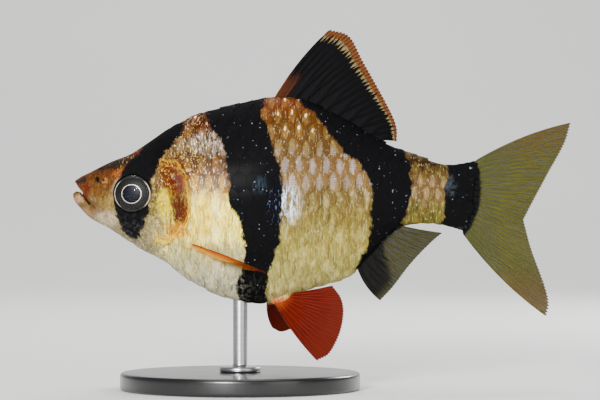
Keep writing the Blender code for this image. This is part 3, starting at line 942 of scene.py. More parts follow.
def make_eyes(iris, pupil, cornea):
    cap = math.degrees(math.acos(PUPIL_RADIUS / EYE_RADII[0]))
    for side, word in ((-1, "left"), (1, "right")):
        eye_shell(f"iris_{word}", side, IRIS_SHELL, iris, f"eye_{word}")
        eye_shell(f"pupil_{word}", side, (cap, *PUPIL_SHARES), pupil)
        eye_shell(f"cornea_{word}", side, CORNEA_SHELL, cornea)


# The stand
def turned(name, outline, sides, paint, slot, node):
    """A turned piece: its outline runs from the axis at the bottom up the outside to the axis at the top."""
    work = spun(outline, sides)
    bmesh.ops.recalc_face_normals(work, faces=work.faces)
    bmesh.ops.translate(work, vec=(ROD_AT, 0, -AXIS_HEIGHT), verts=work.verts)
    keep(name, work, paint, slot, node)


def rounded(corners, radius, steps=6):
    """A turned outline with each inner corner rounded."""
    made = [corners[0]]
    for before, corner, after in zip(corners, corners[1:], corners[2:]):
        before, corner, after = Vector(before), Vector(corner), Vector(after)
        reach = min(radius, (before - corner).length * 0.45, (after - corner).length * 0.45)
        start = corner + (before - corner).normalized() * reach
        end = corner + (after - corner).normalized() * reach
        for k in range(steps + 1):
            t = k / steps
            made.append(tuple(start.lerp(corner, t).lerp(corner.lerp(end, t), t)))
    made.append(corners[-1])
    return made


def make_stand(lacquer, steel):
    base = [(0, 0), (BASE_RADIUS, 0), (BASE_RADIUS, BASE_THICK), (0, BASE_THICK)]
    turned("stand_disc", rounded(base, BASE_BEVEL), 144, lacquer, "base", "stand_base")
    top = AXIS_HEIGHT + belly(ROD_AT) + ROD_SINKS
    rod = [
        (0, BASE_THICK), (FOOT_RADIUS, BASE_THICK), (FOOT_RADIUS, BASE_THICK + FOOT_HEIGHT),
        (ROD_RADIUS, BASE_THICK + FOOT_HEIGHT + 0.05), (ROD_RADIUS, top), (0, top),
    ]
    turned("stand_post", rounded(rod, ROD_BEVEL), 64, steel, "rod", "stand_rod")


# Shader writing
def tint(red, green, blue, depth=1.3):
    """A colour given in 0 to 255 steps, as linear light. Depth enriches it for studio light."""
    return (*[(((c / 255 + 0.055) / 1.055) ** 2.4) ** depth for c in (red, green, blue)], 1.0)


BLACK = tint(13, 13, 17)


class Signal:
    """A value in a shader, which sums and products can be written with."""

    def __init__(self, paint, socket):
        self.paint = paint
        self.socket = socket

    def math(self, operation, *others, swapped=False):
        values = [*others, self] if swapped else [self, *others]
        return self.paint.node("ShaderNodeMath", {"operation": operation}, dict(enumerate(values)))

    def __add__(self, other):
        return self.math("ADD", other)

    def __sub__(self, other):
        return self.math("SUBTRACT", other)

    def __rsub__(self, other):
        return self.math("SUBTRACT", other, swapped=True)

    def __mul__(self, other):
        return self.math("MULTIPLY", other)

    def __truediv__(self, other):
        return self.math("DIVIDE", other)

    def __pow__(self, other):
        return self.math("POWER", other)

    def __abs__(self):
        return self.math("ABSOLUTE")

    __radd__ = __add__
    __rmul__ = __mul__


def away(a, b):
    """How far a point lies from the middle of its own a and b."""
    return (a * a + b * b) ** 0.5


class Paint:
    """A material under construction, with the colour that it has so far."""

    def __init__(self, name, **fixed):
        self.material = bpy.data.materials.new(name)
        self.material.use_nodes = True
        self.tree = self.material.node_tree
        self.shader = self.tree.nodes["Principled BSDF"]
        self.wear(**fixed)

    def plug(self, socket, value):
        if isinstance(value, Signal):
            self.tree.links.new(value.socket, socket)
        else:
            socket.default_value = value

    def wear(self, **inputs):
        """Values and signals for the shader's own sockets."""
        for socket, value in inputs.items():
            self.plug(self.shader.inputs[socket.replace("_", " ")], value)

    def node(self, kind, settings=None, values=None, output=0):
        """Any node: its settings first, then the values or links of its sockets."""
        node = self.tree.nodes.new(kind)
        for key, value in (settings or {}).items():
            if key == "stops":
                self.set_stops(node.color_ramp, value)
            elif key == "curve":
                self.set_curve(node.mapping, value)
            else:
                setattr(node, key, value)
        for key, value in (values or {}).items():
            self.plug(node.inputs[key], value)
        return Signal(self, node.outputs[output])

    def set_stops(self, ramp, stops):
        ramp.interpolation = "EASE"
        while len(ramp.elements) < len(stops):
            ramp.elements.new(0.5)
        for element, (place, colour) in zip(ramp.elements, stops):
            element.position = place
            element.color = colour

    def set_curve(self, mapping, points):
        curve = mapping.curves[0]
        for x, y in points[1:-1]:
            curve.points.new(x, y)
        for point, place in zip(curve.points, points):
            point.location = place
            point.handle_type = "AUTO"
        mapping.update()

    def parts(self, vector, count=3):
        return [self.node("ShaderNodeSeparateXYZ", {}, {0: vector}, k) for k in range(count)]

    def join(self, *values):
        return self.node("ShaderNodeCombineXYZ", {}, dict(enumerate(values)))

    def space(self):
        """Millimetres of the frame as a vector, with fish s, y and h."""
        place = self.node("ShaderNodeTexCoord", output=3)
        big = self.node("ShaderNodeVectorMath", {"operation": "SCALE"}, {0: place, "Scale": 1 / MM})
        x, y, z = self.parts(big)
        return big, x + TOTAL_LENGTH / 2, y, z - AXIS_HEIGHT

    def uv(self, name):
        """The two shares of a UV, from 0 to 1."""
        return self.parts(self.node("ShaderNodeUVMap", {"uv_map": name}), 2)

    def noise(self, vector, scale, detail=2.0, roughness=0.5, stretch=None):
        """Cloudy noise from 0 to 1, with scale in features per millimetre."""
        if stretch:
            vector = self.node("ShaderNodeMapping", {}, {"Vector": vector, "Scale": stretch})
        values = {"Vector": vector, "Scale": scale, "Detail": detail, "Roughness": roughness}
        return self.node("ShaderNodeTexNoise", {}, values)

    def step(self, value, low, high):
        """0 below low, 1 above high, smooth between."""
        settings = {"interpolation_type": "SMOOTHSTEP"}
        return self.node("ShaderNodeMapRange", settings, {0: value, 1: low, 2: high, 3: 0.0, 4: 1.0})

    def fall(self, value, low, high):
        """1 below low, 0 above high, smooth between."""
        return 1.0 - self.step(value, low, high)

    def mix(self, mask, first, second, how="MIX"):
        settings = {"data_type": "RGBA", "blend_type": how}
        return self.node("ShaderNodeMix", settings, {0: mask, 6: first, 7: second}, 2)

    def lay(self, mask, shade, how="MIX"):
        """Covers the colour so far with a shade where the mask is 1."""
        self.colour = self.mix(mask, self.colour, shade, how)

    def light(self, factor):
        """Makes the colour so far brighter or darker."""
        values = {0: self.colour, "Scale": factor}
        self.colour = self.node("ShaderNodeVectorMath", {"operation": "SCALE"}, values)

    def tones(self, h, rows, which=0):
        """The colour at a height, from rows of a height and one or more colours."""
        low, high = rows[0][0], rows[-1][0]
        stops = [((row[0] - low) / (high - low), tint(*row[1 + which])) for row in rows]
        return self.node("ShaderNodeValToRGB", {"stops": stops}, {0: (h - low) / (high - low)})

    def curve(self, h, points):
        """A smooth curve through points of (h, s), read at h."""
        low, high = CURVE_SPAN
        flat = [((at - low) / (high - low), s / CURVE_REACH) for at, s in sorted(points)]
        flat = [(0.0, flat[0][1]), *flat, (1.0, flat[-1][1])]
        values = {"Factor": 1.0, "Value": (h - low) / (high - low)}
        return self.node("ShaderNodeFloatCurve", {"curve": flat}, values) * CURVE_REACH

    def bumped(self, height, distance, strength):
        values = {"Height": height, "Distance": distance * MM, "Strength": strength}
        return self.node("ShaderNodeBump", {}, values)


# Markings
# Edges of the dark bands as (h, s), read from the photo at 8 pixels to a millimetre
EYE_BAND_FRONT = (
    (6.1, 8.75), (4.7, 7.7), (3.9, 6.9), (2.7, 6.1), (0.3, 5.4), (-2.2, 5.5), (-3.3, 5.9), (-4.5, 6.5),
    (-5.4, 7.2),
)
EYE_BAND_REAR = (
    (9.5, 13.9), (7.6, 13.5), (6.6, 12.9), (5.7, 12.1), (4.7, 11.2), (3.5, 10.8), (2.2, 10.0), (0.3, 9.8),
    (-2.0, 9.6), (-3.8, 8.9), (-4.9, 8.5), (-5.5, 8.3),
)
EYE_BAND_BOTTOM = -5.3
BAND_2_FRONT = (
    (10.5, 16.7), (8.5, 17.4), (7.0, 18.6), (5.7, 19.1), (2.6, 19.4), (-1.1, 19.9), (-3.0, 20.9),
    (-4.9, 21.4), (-9.2, 21.2), (-11.1, 20.5), (-13.0, 20.8),
)
BAND_2_REAR = (
    (11.9, 23.9), (10.1, 23.7), (8.5, 24.4), (5.1, 25.2), (3.2, 25.9), (0.8, 26.2), (-2.4, 26.1),
    (-6.1, 25.7), (-7.7, 25.3), (-9.2, 24.6), (-11.1, 24.3), (-13.0, 24.1),
)
BAND_3_FRONT = (
    (14.5, 26.7), (12.2, 28.0), (11.1, 28.7), (10.1, 30.2), (8.5, 31.5), (6.6, 33.0), (5.7, 33.8),
    (3.2, 36.4), (0.7, 37.2), (-3.6, 37.0), (-6.7, 36.6), (-8.0, 35.7), (-9.2, 35.6), (-10.5, 36.1),
)
BAND_3_REAR = (
    (5.7, 41.4), (3.2, 42.1), (0.6, 42.2), (-1.7, 41.8), (-3.6, 41.1), (-5.5, 40.5), (-6.7, 39.5),
    (-8.0, 38.9), (-9.2, 37.9), (-10.5, 37.2),
)
BAND_4_FRONT = (
    (4.0, 46.7), (2.2, 46.9), (1.4, 46.5), (0.1, 46.4), (-1.1, 46.5), (-2.4, 46.3), (-3.4, 46.0),
)
BAND_4_REAR = (
    (4.0, 50.2), (2.6, 50.7), (1.4, 50.9), (-0.5, 50.8), (-1.7, 50.6), (-2.4, 50.3), (-4.0, 49.6),
    (-4.8, 49.0),
)
CURVE_SPAN = (-15.0, 16.0)
CURVE_REACH = 60.0

# Colours of the pale zones from the belly up, as (h, middle of a scale, its border)
SHOULDER = (
    (-10.5, (192, 190, 168), (172, 166, 136)), (-6.8, (206, 200, 150), (180, 166, 108)),
    (-4.8, (254, 246, 132), (232, 204, 78)), (-1.4, (255, 244, 108), (234, 202, 60)),
    (1.0, (188, 152, 70), (140, 100, 36)), (2.8, (130, 94, 38), (104, 68, 22)),
    (4.6, (122, 90, 46), (92, 62, 28)), (6.2, (140, 120, 90), (100, 78, 50)),
    (7.6, (146, 106, 66), (94, 60, 28)), (8.6, (120, 64, 22), (84, 40, 12)),
    (10.0, (104, 50, 16), (76, 32, 8)),
)
FLANK = (
    (-12.0, (188, 180, 128), (164, 152, 92)), (-9.0, (176, 170, 108), (150, 138, 74)),
    (-6.0, (170, 160, 92), (146, 132, 62)), (-2.5, (146, 132, 74), (124, 106, 50)),
    (0.2, (138, 122, 80), (116, 96, 50)), (1.8, (158, 140, 124), (134, 110, 70)),
    (4.0, (154, 138, 126), (124, 98, 58)), (5.8, (138, 118, 74), (106, 80, 36)),
    (8.5, (132, 102, 50), (104, 72, 26)), (11.5, (140, 92, 34), (116, 66, 14)),
)
STEM = (
    (-4.0, (122, 116, 52), (106, 96, 38)), (-2.0, (128, 120, 62), (108, 96, 42)),
    (0.2, (148, 128, 92), (120, 96, 56)), (1.4, (146, 126, 92), (120, 94, 58)),
    (2.8, (124, 110, 58), (104, 84, 38)), (4.0, (94, 74, 34), (68, 46, 16)),
)
# Colours of the cheek from the throat up, as (h, colour)
CHEEK = (
    (-8.0, (172, 162, 130)), (-5.0, (164, 154, 120)), (-2.6, (148, 132, 94)), (-0.6, (136, 114, 64)),
    (1.4, (122, 86, 38)), (3.2, (110, 64, 24)), (4.4, (80, 44, 16)), (6.0, (56, 32, 14)),
)
# Soft patches of the head: (s, h, half length, half height, strength, colour)
HEAD_PATCHES = (
    (6.4, 2.9, 2.0, 1.4, 0.8, (156, 96, 34)),
    (8.2, 5.6, 2.6, 0.8, 0.7, (108, 44, 10)),
    (4.0, 4.1, 4.4, 1.2, 0.95, (46, 32, 18)),
    (1.7, 0.8, 0.8, 1.8, 0.8, (112, 36, 14)),
    (0.9, 2.2, 1.1, 1.0, 0.95, (46, 40, 38)),
    (3.3, 0.4, 1.5, 1.2, 0.7, (116, 80, 30)),
    (2.7, -1.6, 0.8, 1.2, 0.6, (100, 52, 24)),
    (5.0, -0.9, 1.3, 1.5, 0.75, (160, 138, 84)),
    (0.5, -0.5, 0.9, 0.7, 0.8, (200, 164, 134)),
    (1.9, -2.2, 1.6, 1.0, 0.6, (176, 144, 104)),
    (4.4, -2.9, 2.2, 1.5, 0.7, (194, 180, 154)),
    # Painted shade in the hole of the front nostril
    (3.1, 1.95, 0.42, 0.45, 0.95, (16, 10, 8)),
    (4.15, 1.9, 0.5, 0.45, 0.75, (190, 142, 88)),
)
GILL_PATCHES = (
    (11.0, -1.0, 1.7, 6.0, 0.8, (112, 100, 58)),
    (10.9, -3.8, 2.0, 2.4, 0.65, (172, 164, 122)),
    (16.2, -3.0, 2.6, 4.2, 0.55, (232, 204, 70)),
    (12.8, 1.9, 2.5, 3.7, 1.0, (108, 46, 8)),
    (13.6, -2.0, 2.0, 3.2, 1.0, (98, 50, 22)),
    (11.6, -1.0, 1.1, 2.5, 1.0, (218, 198, 0)),
    (13.3, -4.3, 2.4, 1.5, 1.0, (184, 138, 0)),
    (11.6, -5.5, 2.0, 0.7, 0.7, (182, 150, 30)),
)
# Gold lines round the gill cover: (share of the way out, half width, strength, colour)
GILL_MIDDLE = (11.6, -0.6)
GILL_REACH = (3.4, 5.1)
GILL_RINGS = (
    (1.0, 0.04, 1.0, (246, 206, 60)),
    (0.89, 0.03, 0.8, (236, 180, 10)),
    (0.79, 0.02, 0.6, (170, 96, 10)),
)
# Spots: (s, h, half length, half height, strength and at times how soft the rim is)
# The silver spot is partly painted highlight
SILVER_HIGHLIGHT_SPOT = (17.6, 6.6, 4.4, 2.1, 0.95, 0.6)
GOLD_SPOT = (17.0, -2.8, 4.2, 4.6, 1.0)
# The glare spot is a painted reflection
GLARE_SPOT = (26.9, -0.9, 2.2, 3.3, 0.95, 0.8)
RED_CORE = (13.7, -0.3, 1.8, 4.4, 0.85)
GILL_EDGE = (10.7, -0.6, 1.5, 5.0, 0.55)
THROAT = (15.2, -8.6, 3.0, 1.7, 0.45)
PELVIC_FLESH = (25.8, -13.4, 2.4, 1.3, 0.85)
PECTORAL_FLESH = (14.5, -6.2, 1.5, 0.8, 0.5)
# Painted light on the black bands: two sheens and a patch of blue glints
BAND_2_SHEEN = (23.4, 1.3, 1.2, 1.6, 0.5)
BAND_2_BLUE_GLINTS = (25.4, -1.0, 1.6, 2.8, 0.9)
BAND_4_SHEEN = (47.0, 1.4, 1.1, 1.7, 0.5)


class FishPaint(Paint):
    """A material with the markings of the whole fish, which are drawn in its side view."""

    def draw_at(self, big, s, h):
        """Sets where the markings are read, and the noises that they share."""
        self.s = s
        self.h = h
        self.fine = self.noise(big, 2.2, 3.0, 0.6)
        self.streak = self.noise(big, 1.0, 3.0, 0.68, stretch=(4.8, 1.4, 0.9))
        sparks = self.noise(big, 2.7, 3.0, 0.75, stretch=(1.6, 1.0, 0.9))
        self.sparkle_flecks = self.step(sparks, 0.57, 0.65)
        self.broad = self.noise(big, 0.62, 2.0, 0.6, stretch=(1.7, 1.2, 0.7))
        glints = self.noise(big, 1.0, 2.0, 0.7, stretch=(5.6, 1.4, 1.7))
        self.glint = self.step(glints, 0.58, 0.68)

    def ragged(self, big, s, h):
        """Side-view coordinates shaken by noise, so that every edge of the markings is ragged."""
        coarse = self.noise(big, 0.9, 1.0)
        sharp = self.noise(big, 1.6, 3.0, 0.75, stretch=(2.2, 2.2, 0.8))
        shake = (coarse - 0.5) * 0.9 + (sharp - 0.5) * 1.3
        rise = (self.noise(big, 1.1, 1.0, stretch=(1.0, 1.0, -1.0)) - 0.5) * 0.8
        return s + shake, h + rise

    def band(self, front, rear=None, soft=0.2):
        """1 between two edges of a band."""
        inside = self.step(self.s - self.curve(self.h, front), -soft, soft)
        if rear:
            inside = inside * self.step(self.curve(self.h, rear) - self.s, -soft, soft)
        return inside

    def dark(self):
        """1 in the four black bands."""
        dark = self.band(EYE_BAND_FRONT, EYE_BAND_REAR)
        dark = dark * self.step(self.h, EYE_BAND_BOTTOM - 0.3, EYE_BAND_BOTTOM + 0.3)
        for edges in ((BAND_2_FRONT, BAND_2_REAR), (BAND_3_FRONT, BAND_3_REAR), (BAND_4_FRONT,)):
            band = self.band(*edges)
            dark = dark + band - dark * band
        return dark

    def spot(self, at_s, at_h, wide, tall, strength=1.0, soft=0.6):
        """A soft oval patch: full in its middle and 0 at its rim."""
        out = away((self.s - at_s) / wide, (self.h - at_h) / tall) + (self.streak - 0.5) * 0.9
        return self.step(1.0 - out, 0.0, soft) * strength

    def patch(self, patches):
        for *place, shade in patches:
            self.lay(self.spot(*place), tint(*shade))

    def zone(self, height, rows, heart):
        return self.mix(heart, self.tones(height, rows, 1), self.tones(height, rows))

    def pale(self, heart):
        """The pale zones of the scaled body. heart is 1 in the middle of a scale."""
        height = self.h + (self.fine - 0.5) * 2.6 + (self.streak - 0.5) * 2.4 + (self.broad - 0.5) * 4.0
        self.colour = self.zone(height, SHOULDER, heart)
        self.lay(self.step(self.s, 22.5, 24.5), self.zone(height, FLANK, heart))
        self.lay(self.step(self.s, 39.5, 41.0), self.zone(height, STEM, heart))
        low = self.fall(self.h, -1.5, 2.5)
        self.lay(self.step(self.fine, 0.58, 0.7) * low * 0.25, tint(170, 110, 56))
        # Broad patches of painted light and shade, stronger low on the flank, and a painted sheen where they
        # are brightest
        self.light(1.0 + (self.broad - 0.5) * (0.35 + low * 0.55))
        shine = self.step(self.broad, 0.5, 0.62) * low * self.step(self.s, 39.0, 37.0)
        self.lay(shine * 0.2, tint(226, 216, 160))
        # Silver streaks, partly the scales' own silver and partly painted highlight, with painted glints over
        # them
        silver = self.spot(*SILVER_HIGHLIGHT_SPOT)
        self.lay(silver * self.step(self.streak, 0.46, 0.6) * 0.5, tint(206, 198, 190))
        self.lay(silver * self.glint, tint(246, 242, 240, 1.0))

    def head(self):
        """Dark snout, orange brow, red lips and silver cheek, up to the gill cover."""
        mottle = self.step(self.fine, 0.3, 0.7)
        cheek = self.mix(mottle * 0.55, self.tones(self.h, CHEEK), tint(84, 58, 30))
        self.lay(self.fall(self.s, 9.6, 11.6), cheek)
        self.patch(HEAD_PATCHES)

    def shoulder(self):
        """Deep gold streaks with painted near white highlight flecks and painted glints behind the gill
        cover, then the cover and the painted glare spot.
        """
        here = self.spot(*GOLD_SPOT)
        self.lay(here * self.fall(self.streak, 0.34, 0.48) * 0.55, tint(214, 156, 16))
        # Painted highlight flecks and painted glints on the gold
        self.lay(here * self.step(self.broad, 0.5, 0.6) * 0.45, tint(255, 250, 190, 1.0))
        self.lay(here * self.glint * 0.7, tint(255, 254, 220, 1.0))
        self.gill_cover()
        # A painted reflection: the one spot of the flank that throws the light straight back
        self.lay(self.spot(*GLARE_SPOT) * self.step(self.streak, 0.44, 0.56), tint(214, 228, 255, 1.0))

    def gill_cover(self):
        """Red-brown with a gold patch in front and a gold rim below, all strewn with gold specks that are
        partly painted sparkle.
        """
        self.patch(GILL_PATCHES)
        self.gill_rings()
        here = self.step(self.s, 9.4, 11.0) * self.fall(self.s, 15.6, 17.5)
        here = here * self.step(self.h, -7.5, -5.0) * (1.0 - self.step(self.h, 6.0, 8.0) * 0.5)
        self.gilled = here
        self.plain = self.spot(*RED_CORE)
        # Gold specks, partly the cover's own and partly painted sparkle, kept off the red core
        self.lay(self.sparkle_flecks * here * (1.0 - self.plain) * 0.75, tint(255, 210, 70))
        self.lay(self.spot(*GILL_EDGE) * self.step(self.fine, 0.48, 0.62), tint(84, 74, 42))

    def gill_rings(self):
        """Thin gold lines, one inside the other, along the rear and the lower rim of the gill cover."""
        a = (self.s - GILL_MIDDLE[0]) / GILL_REACH[0]
        b = (self.h - GILL_MIDDLE[1]) / GILL_REACH[1]
        out = away(a, b) + (self.fine - 0.5) * 0.06
        low = (1.0 - self.step(self.h, -3.0, 1.0) * 0.75) * self.step(self.s, 9.8, 11.8)
        for at, half, strength, shade in GILL_RINGS:
            self.lay(self.fall(abs(out - at) / half, 0.6, 1.4) * low * strength, tint(*shade))

    def streaked(self, depth):
        """Fine upright streaks of light and shade, faint on the belly."""
        calm = 0.45 + self.step(self.h, -7.0, -2.5) * 0.55
        self.light((self.streak - 0.5) * calm * depth + 1.0)


def skin_paint():
    paint = FishPaint("wet_skin", Coat_Roughness=0.2, IOR=1.36, Specular_IOR_Level=0.16)
    big, s, y, h = paint.space()
    paint.draw_at(big, *paint.ragged(big, s, h))
    paint.pale(paint.step(paint.streak, 0.35, 0.65))
    paint.head()
    paint.shoulder()
    paint.lay(paint.spot(*THROAT), tint(206, 184, 170))
    paint.streaked(1.7)
    # Crinkles like those of foil break the light up, as bumps and as painted light and shade cell by cell
    cells = {"Vector": big, "Scale": 2.4, "Randomness": 1.0}
    foil = paint.node("ShaderNodeTexVoronoi", {"feature": "F1"}, cells)
    paint.light(1.25 - foil * 0.5)
    # Painted glints from behind the snout back, none on the red core of the gill cover
    painted_glints = paint.glint * paint.step(s, 3.0, 9.0) * (1.0 - paint.plain)
    paint.lay(painted_glints * 0.45, tint(255, 236, 178))
    paint.lay(paint.spot(*PELVIC_FLESH), tint(196, 112, 58))
    paint.lay(paint.spot(*PECTORAL_FLESH), tint(204, 166, 60))
    dark = paint.dark()
    paint.lay(dark, BLACK)
    # Faint grey specks on the lower part of the bands
    grey_specks = paint.step(h, -1.5, -4.0) * paint.step(paint.fine, 0.46, 0.66) * dark
    paint.lay(grey_specks * 0.3, tint(100, 96, 98))
    pink = paint.fall(s, 1.4, 3.2) * paint.fall(abs(y), 0.4, 1.2)
    paint.lay(pink * 0.3, tint(150, 84, 70))
    height = paint.fine * 1.2 + paint.streak * 0.8 + paint.sparkle_flecks * 0.5 - foil * 1.2
    paint.wear(
        Base_Color=paint.colour,
        Metallic=(1.0 - dark) * (0.12 + paint.sparkle_flecks * 0.3),
        Roughness=0.5 + dark * 0.28 + paint.gilled * 0.15 - paint.sparkle_flecks * 0.14,
        Coat_Weight=(0.07 - dark * 0.05) * (1.0 - paint.gilled * 0.8),
        Normal=paint.bumped(height, 0.1, 0.85),
    )
    return paint.material


def band_sheens_and_specks(paint, big, s, dark, streaks):
    """Painted sheens and glints, and faint grey specks, that lie on the black bands."""
    paint.lay(dark, BLACK)
    # Painted reflections: a slate sheen on the second band, and a grey-blue one on the fourth
    paint.lay(paint.spot(*BAND_2_SHEEN) * dark * streaks, tint(74, 90, 104))
    sheen = paint.spot(*BAND_4_SHEEN) * paint.step(paint.fine, 0.35, 0.6)
    paint.lay(sheen * dark, tint(92, 100, 108))
    # Painted blue glints near the glare spot
    paint.lay(paint.spot(*BAND_2_BLUE_GLINTS) * dark * paint.glint * 0.6, tint(116, 132, 180))
    # Grey specks low on the bands, mostly on the second
    grey_specks = paint.step(paint.h, -8.5, -11.0) * (0.1 + paint.step(s, 22.6, 21.0) * 0.5)
    grey_specks = grey_specks * paint.step(paint.fine + (paint.streak - 0.5) * 0.8, 0.5, 0.66)
    paint.lay(grey_specks * dark * paint.step(s, 27.0, 25.0), tint(130, 126, 112))
    # Sparse painted glints all over the bands
    glint_specks = paint.step(paint.noise(big, 3.6, 0.0), 0.79, 0.84) * dark
    paint.lay(glint_specks * 0.6, tint(160, 166, 176))


def scale_paint():
    """Each scale has a tall pale heart crossed by fine lines, in a brown border."""
    paint = FishPaint("scales", Coat_Roughness=0.22, IOR=1.36, Specular_IOR_Level=0.14)
    big, s, y, h = paint.space()
    home = paint.node("ShaderNodeAttribute", {"attribute_name": "home"}, output=1)
    home_s, home_h, tone = paint.parts(home)
    shaken_s, shaken_h = paint.ragged(big, s, h)
    # Band edges follow whole scales as much as the drawn edge
    paint.draw_at(big, shaken_s * 0.8 + (home_s + 0.35) * 0.2, shaken_h * 0.85 + home_h * 0.15)
    across, along = paint.uv("own")
    a = (across - 0.5) * 2.0
    b = (along - 0.5) * 2.0
    out = abs((a - 0.02) / 0.36) + (b / 0.9) ** 2.0
    heart = paint.fall(out + (paint.fine - 0.5) * 1.1 + (paint.streak - 0.5) * 1.3, 0.5, 1.25)
    # Lower down the hearts run together into streaks
    low = paint.fall(paint.h, -3.0, 1.5)
    streaks = paint.step(paint.streak, 0.4, 0.6)
    paint.pale(heart + (streaks - heart) * low * 0.6)
    own = paint.node("ShaderNodeUVMap", {"uv_map": "own"})
    lines = paint.node(
        "ShaderNodeTexWave", {"wave_type": "BANDS", "bands_direction": "Y"},
        {"Vector": own, "Scale": 3.3, "Distortion": 4.0, "Detail": 3.0}, output=1,
    )
    middle = paint.step(paint.h, 0.0, 2.0) * paint.fall(paint.h, 4.5, 6.5)
    middle = middle * paint.step(s, 22.0, 25.0) * paint.fall(s, 36.5, 38.0)
    # Painted lilac highlights along the fine lines of the hearts in the middle rows
    line_highlight = paint.step(lines + (paint.fine - 0.5) * 1.2, 0.4, 1.0) * (0.05 + tone * 0.35)
    paint.lay(heart * line_highlight * middle, tint(190, 184, 210))
    paint.light(0.88 + tone * 0.24)
    # Painted shade between the lines
    paint.lay(heart * (1.0 - lines) * middle * 0.25, tint(150, 120, 100), "MULTIPLY")
    paint.shoulder()
    paint.streaked(1.5 + paint.step(s, 24.0, 22.0) * 0.7)
    # The free edge of each scale is a thin shade line
    edge = paint.step((a * a + b * b * 0.8) ** 0.5, 0.86, 0.98)
    paint.lay(edge * 0.3, tint(120, 84, 44), "MULTIPLY")
    # A painted gold glint stands on each of the upper scales, and painted glints lie over the rest
    gold_glint = (((a - 0.02) / 0.13) ** 2.0 + ((b - 0.2) / 0.3) ** 2.0) ** 0.5
    gold_glint = paint.fall(gold_glint + (paint.fine - 0.5) * 2.4, 0.4, 1.0) * paint.step(h, 6.8, 8.8)
    paint.lay(gold_glint * paint.step(tone, 0.25, 0.6), tint(255, 234, 186, 1.0))
    shine = 0.22 + paint.step(s, 23.0, 20.0) * 0.35
    paint.lay(paint.glint * shine, tint(255, 246, 206))
    dark = paint.dark()
    band_sheens_and_specks(paint, big, s, dark, streaks)
    height = (lines * (0.06 + middle * 0.16) + paint.streak * 0.7) * (1.0 - dark)
    height = height + paint.fine * (0.7 + dark)
    paint.wear(
        Base_Color=paint.colour,
        Metallic=(1.0 - dark) * (0.1 + heart * 0.1),
        Roughness=0.48 + dark * 0.3,
        Coat_Weight=0.045 - dark * 0.035,
        Normal=paint.bumped(height, 0.1, 0.8),
    )
    return paint.material


class FinPaint(Paint):
    """A membrane between rays. clear is how much of the membrane shows, from 0 to 1."""

    def __init__(self, name, rays, membrane, ray_colour, clear, marks, shine=0.1):
        super().__init__(name, Coat_Weight=shine, Coat_Roughness=0.2, IOR=1.36, Specular_IOR_Level=0.1)
        self.big, self.s, self.y, self.h = self.space()
        self.draw_rays(rays)
        self.fine = self.noise(self.big, 3.0, 3.0, 0.6)
        # Fine threads between the rays
        self.thread = self.noise(self.join(self.across * (rays * 9.0), self.along * 3.0), 1.0, 2.0, 0.7)
        self.colour = self.mix(self.ray, membrane, ray_colour)
        self.lay((1.0 - self.joint) * self.ray * 0.4, membrane)
        self.lay(self.step(self.thread, 0.4, 0.65) * 0.4, tint(120, 104, 84), "MULTIPLY")
        self.alpha = clear + self.ray * (0.97 - clear)
        marks(self)
        self.wear(
            Base_Color=self.colour,
            Alpha=self.alpha,
            Roughness=0.56 + self.fine * 0.1,
            Normal=self.bumped(self.ray * self.joint + self.thread * 0.3, 0.05, 0.5),
        )

    def draw_rays(self, rays):
        """The forked rays and their joints, and the shares across and along the fin."""
        self.across, self.along = self.uv("sheet")
        place = self.across * (rays - 1.0)
        off = place - place.math("ROUND")
        fork = self.step(self.along, *FORK_SPAN) * FORK
        twig = self.step(self.along, *TWIG_SPAN) * TWIG
        width = 0.13 - self.along * 0.07
        self.ray = self.fall(abs(abs(abs(off) - fork) - twig) / width, 0.25, 1.0)
        joints = (self.along * 26.0).math("FRACT")
        self.joint = self.step(joints, 0.0, 0.12) * self.fall(joints, 0.88, 1.0)

    def blacken(self, mask, solid, strength=1.0):
        """Black where the mask is 1, which also makes the membrane that solid."""
        self.lay(mask * strength, BLACK)
        self.alpha = self.alpha + mask * (solid - self.alpha)


def fin_paint(word, rays, membrane, ray_colour, clear, marks, shine=0.1):
    shades = tint(*membrane), tint(*ray_colour)
    return FinPaint(f"{word}_membrane", rays, *shades, clear, marks, shine).material


def dorsal_marks(fin):
    """Black out to thin teeth, an orange-brown margin, and brown rays at the front of the root."""
    jitter = fin.noise(fin.join(fin.across * 30.0), 1.0, 1.0)
    tooth = abs((fin.across * 34.0 + jitter * 1.5).math("FRACT") - 0.5) * 2.0
    edge = 0.8 + tooth * (0.06 + jitter * 0.12) + (jitter - 0.5) * 0.1
    rim = fin.step(fin.along + (jitter - 0.5) * 0.04, 0.885, 0.91)
    fin.colour = fin.mix(rim, tint(132, 112, 54), fin.colour)
    fin.alpha = fin.alpha * (0.78 + rim * 0.22)
    fin.blacken(fin.fall(fin.along - edge, -0.008, 0.012), 0.99)
    low = fin.fall(fin.across, 0.02, 0.15) * fin.fall(fin.along + fin.fine * 0.2, 0.2, 0.5)
    fin.lay(low * (0.25 + fin.ray * 0.5), tint(150, 92, 52))


def anal_marks(fin):
    """The third band runs on over the front of the fin."""
    edge = 0.56 - fin.along * 0.34 + (fin.thread - 0.5) * 0.4
    black = fin.fall(fin.across - edge, -0.06, 0.08) * fin.fall(fin.along, 0.75, 1.05)
    root = fin.fall(fin.along + fin.thread * 0.1, 0.05, 0.3) * fin.fall(fin.across, 0.6, 0.9)
    fin.blacken(black + root - black * root, 0.97, 0.94)


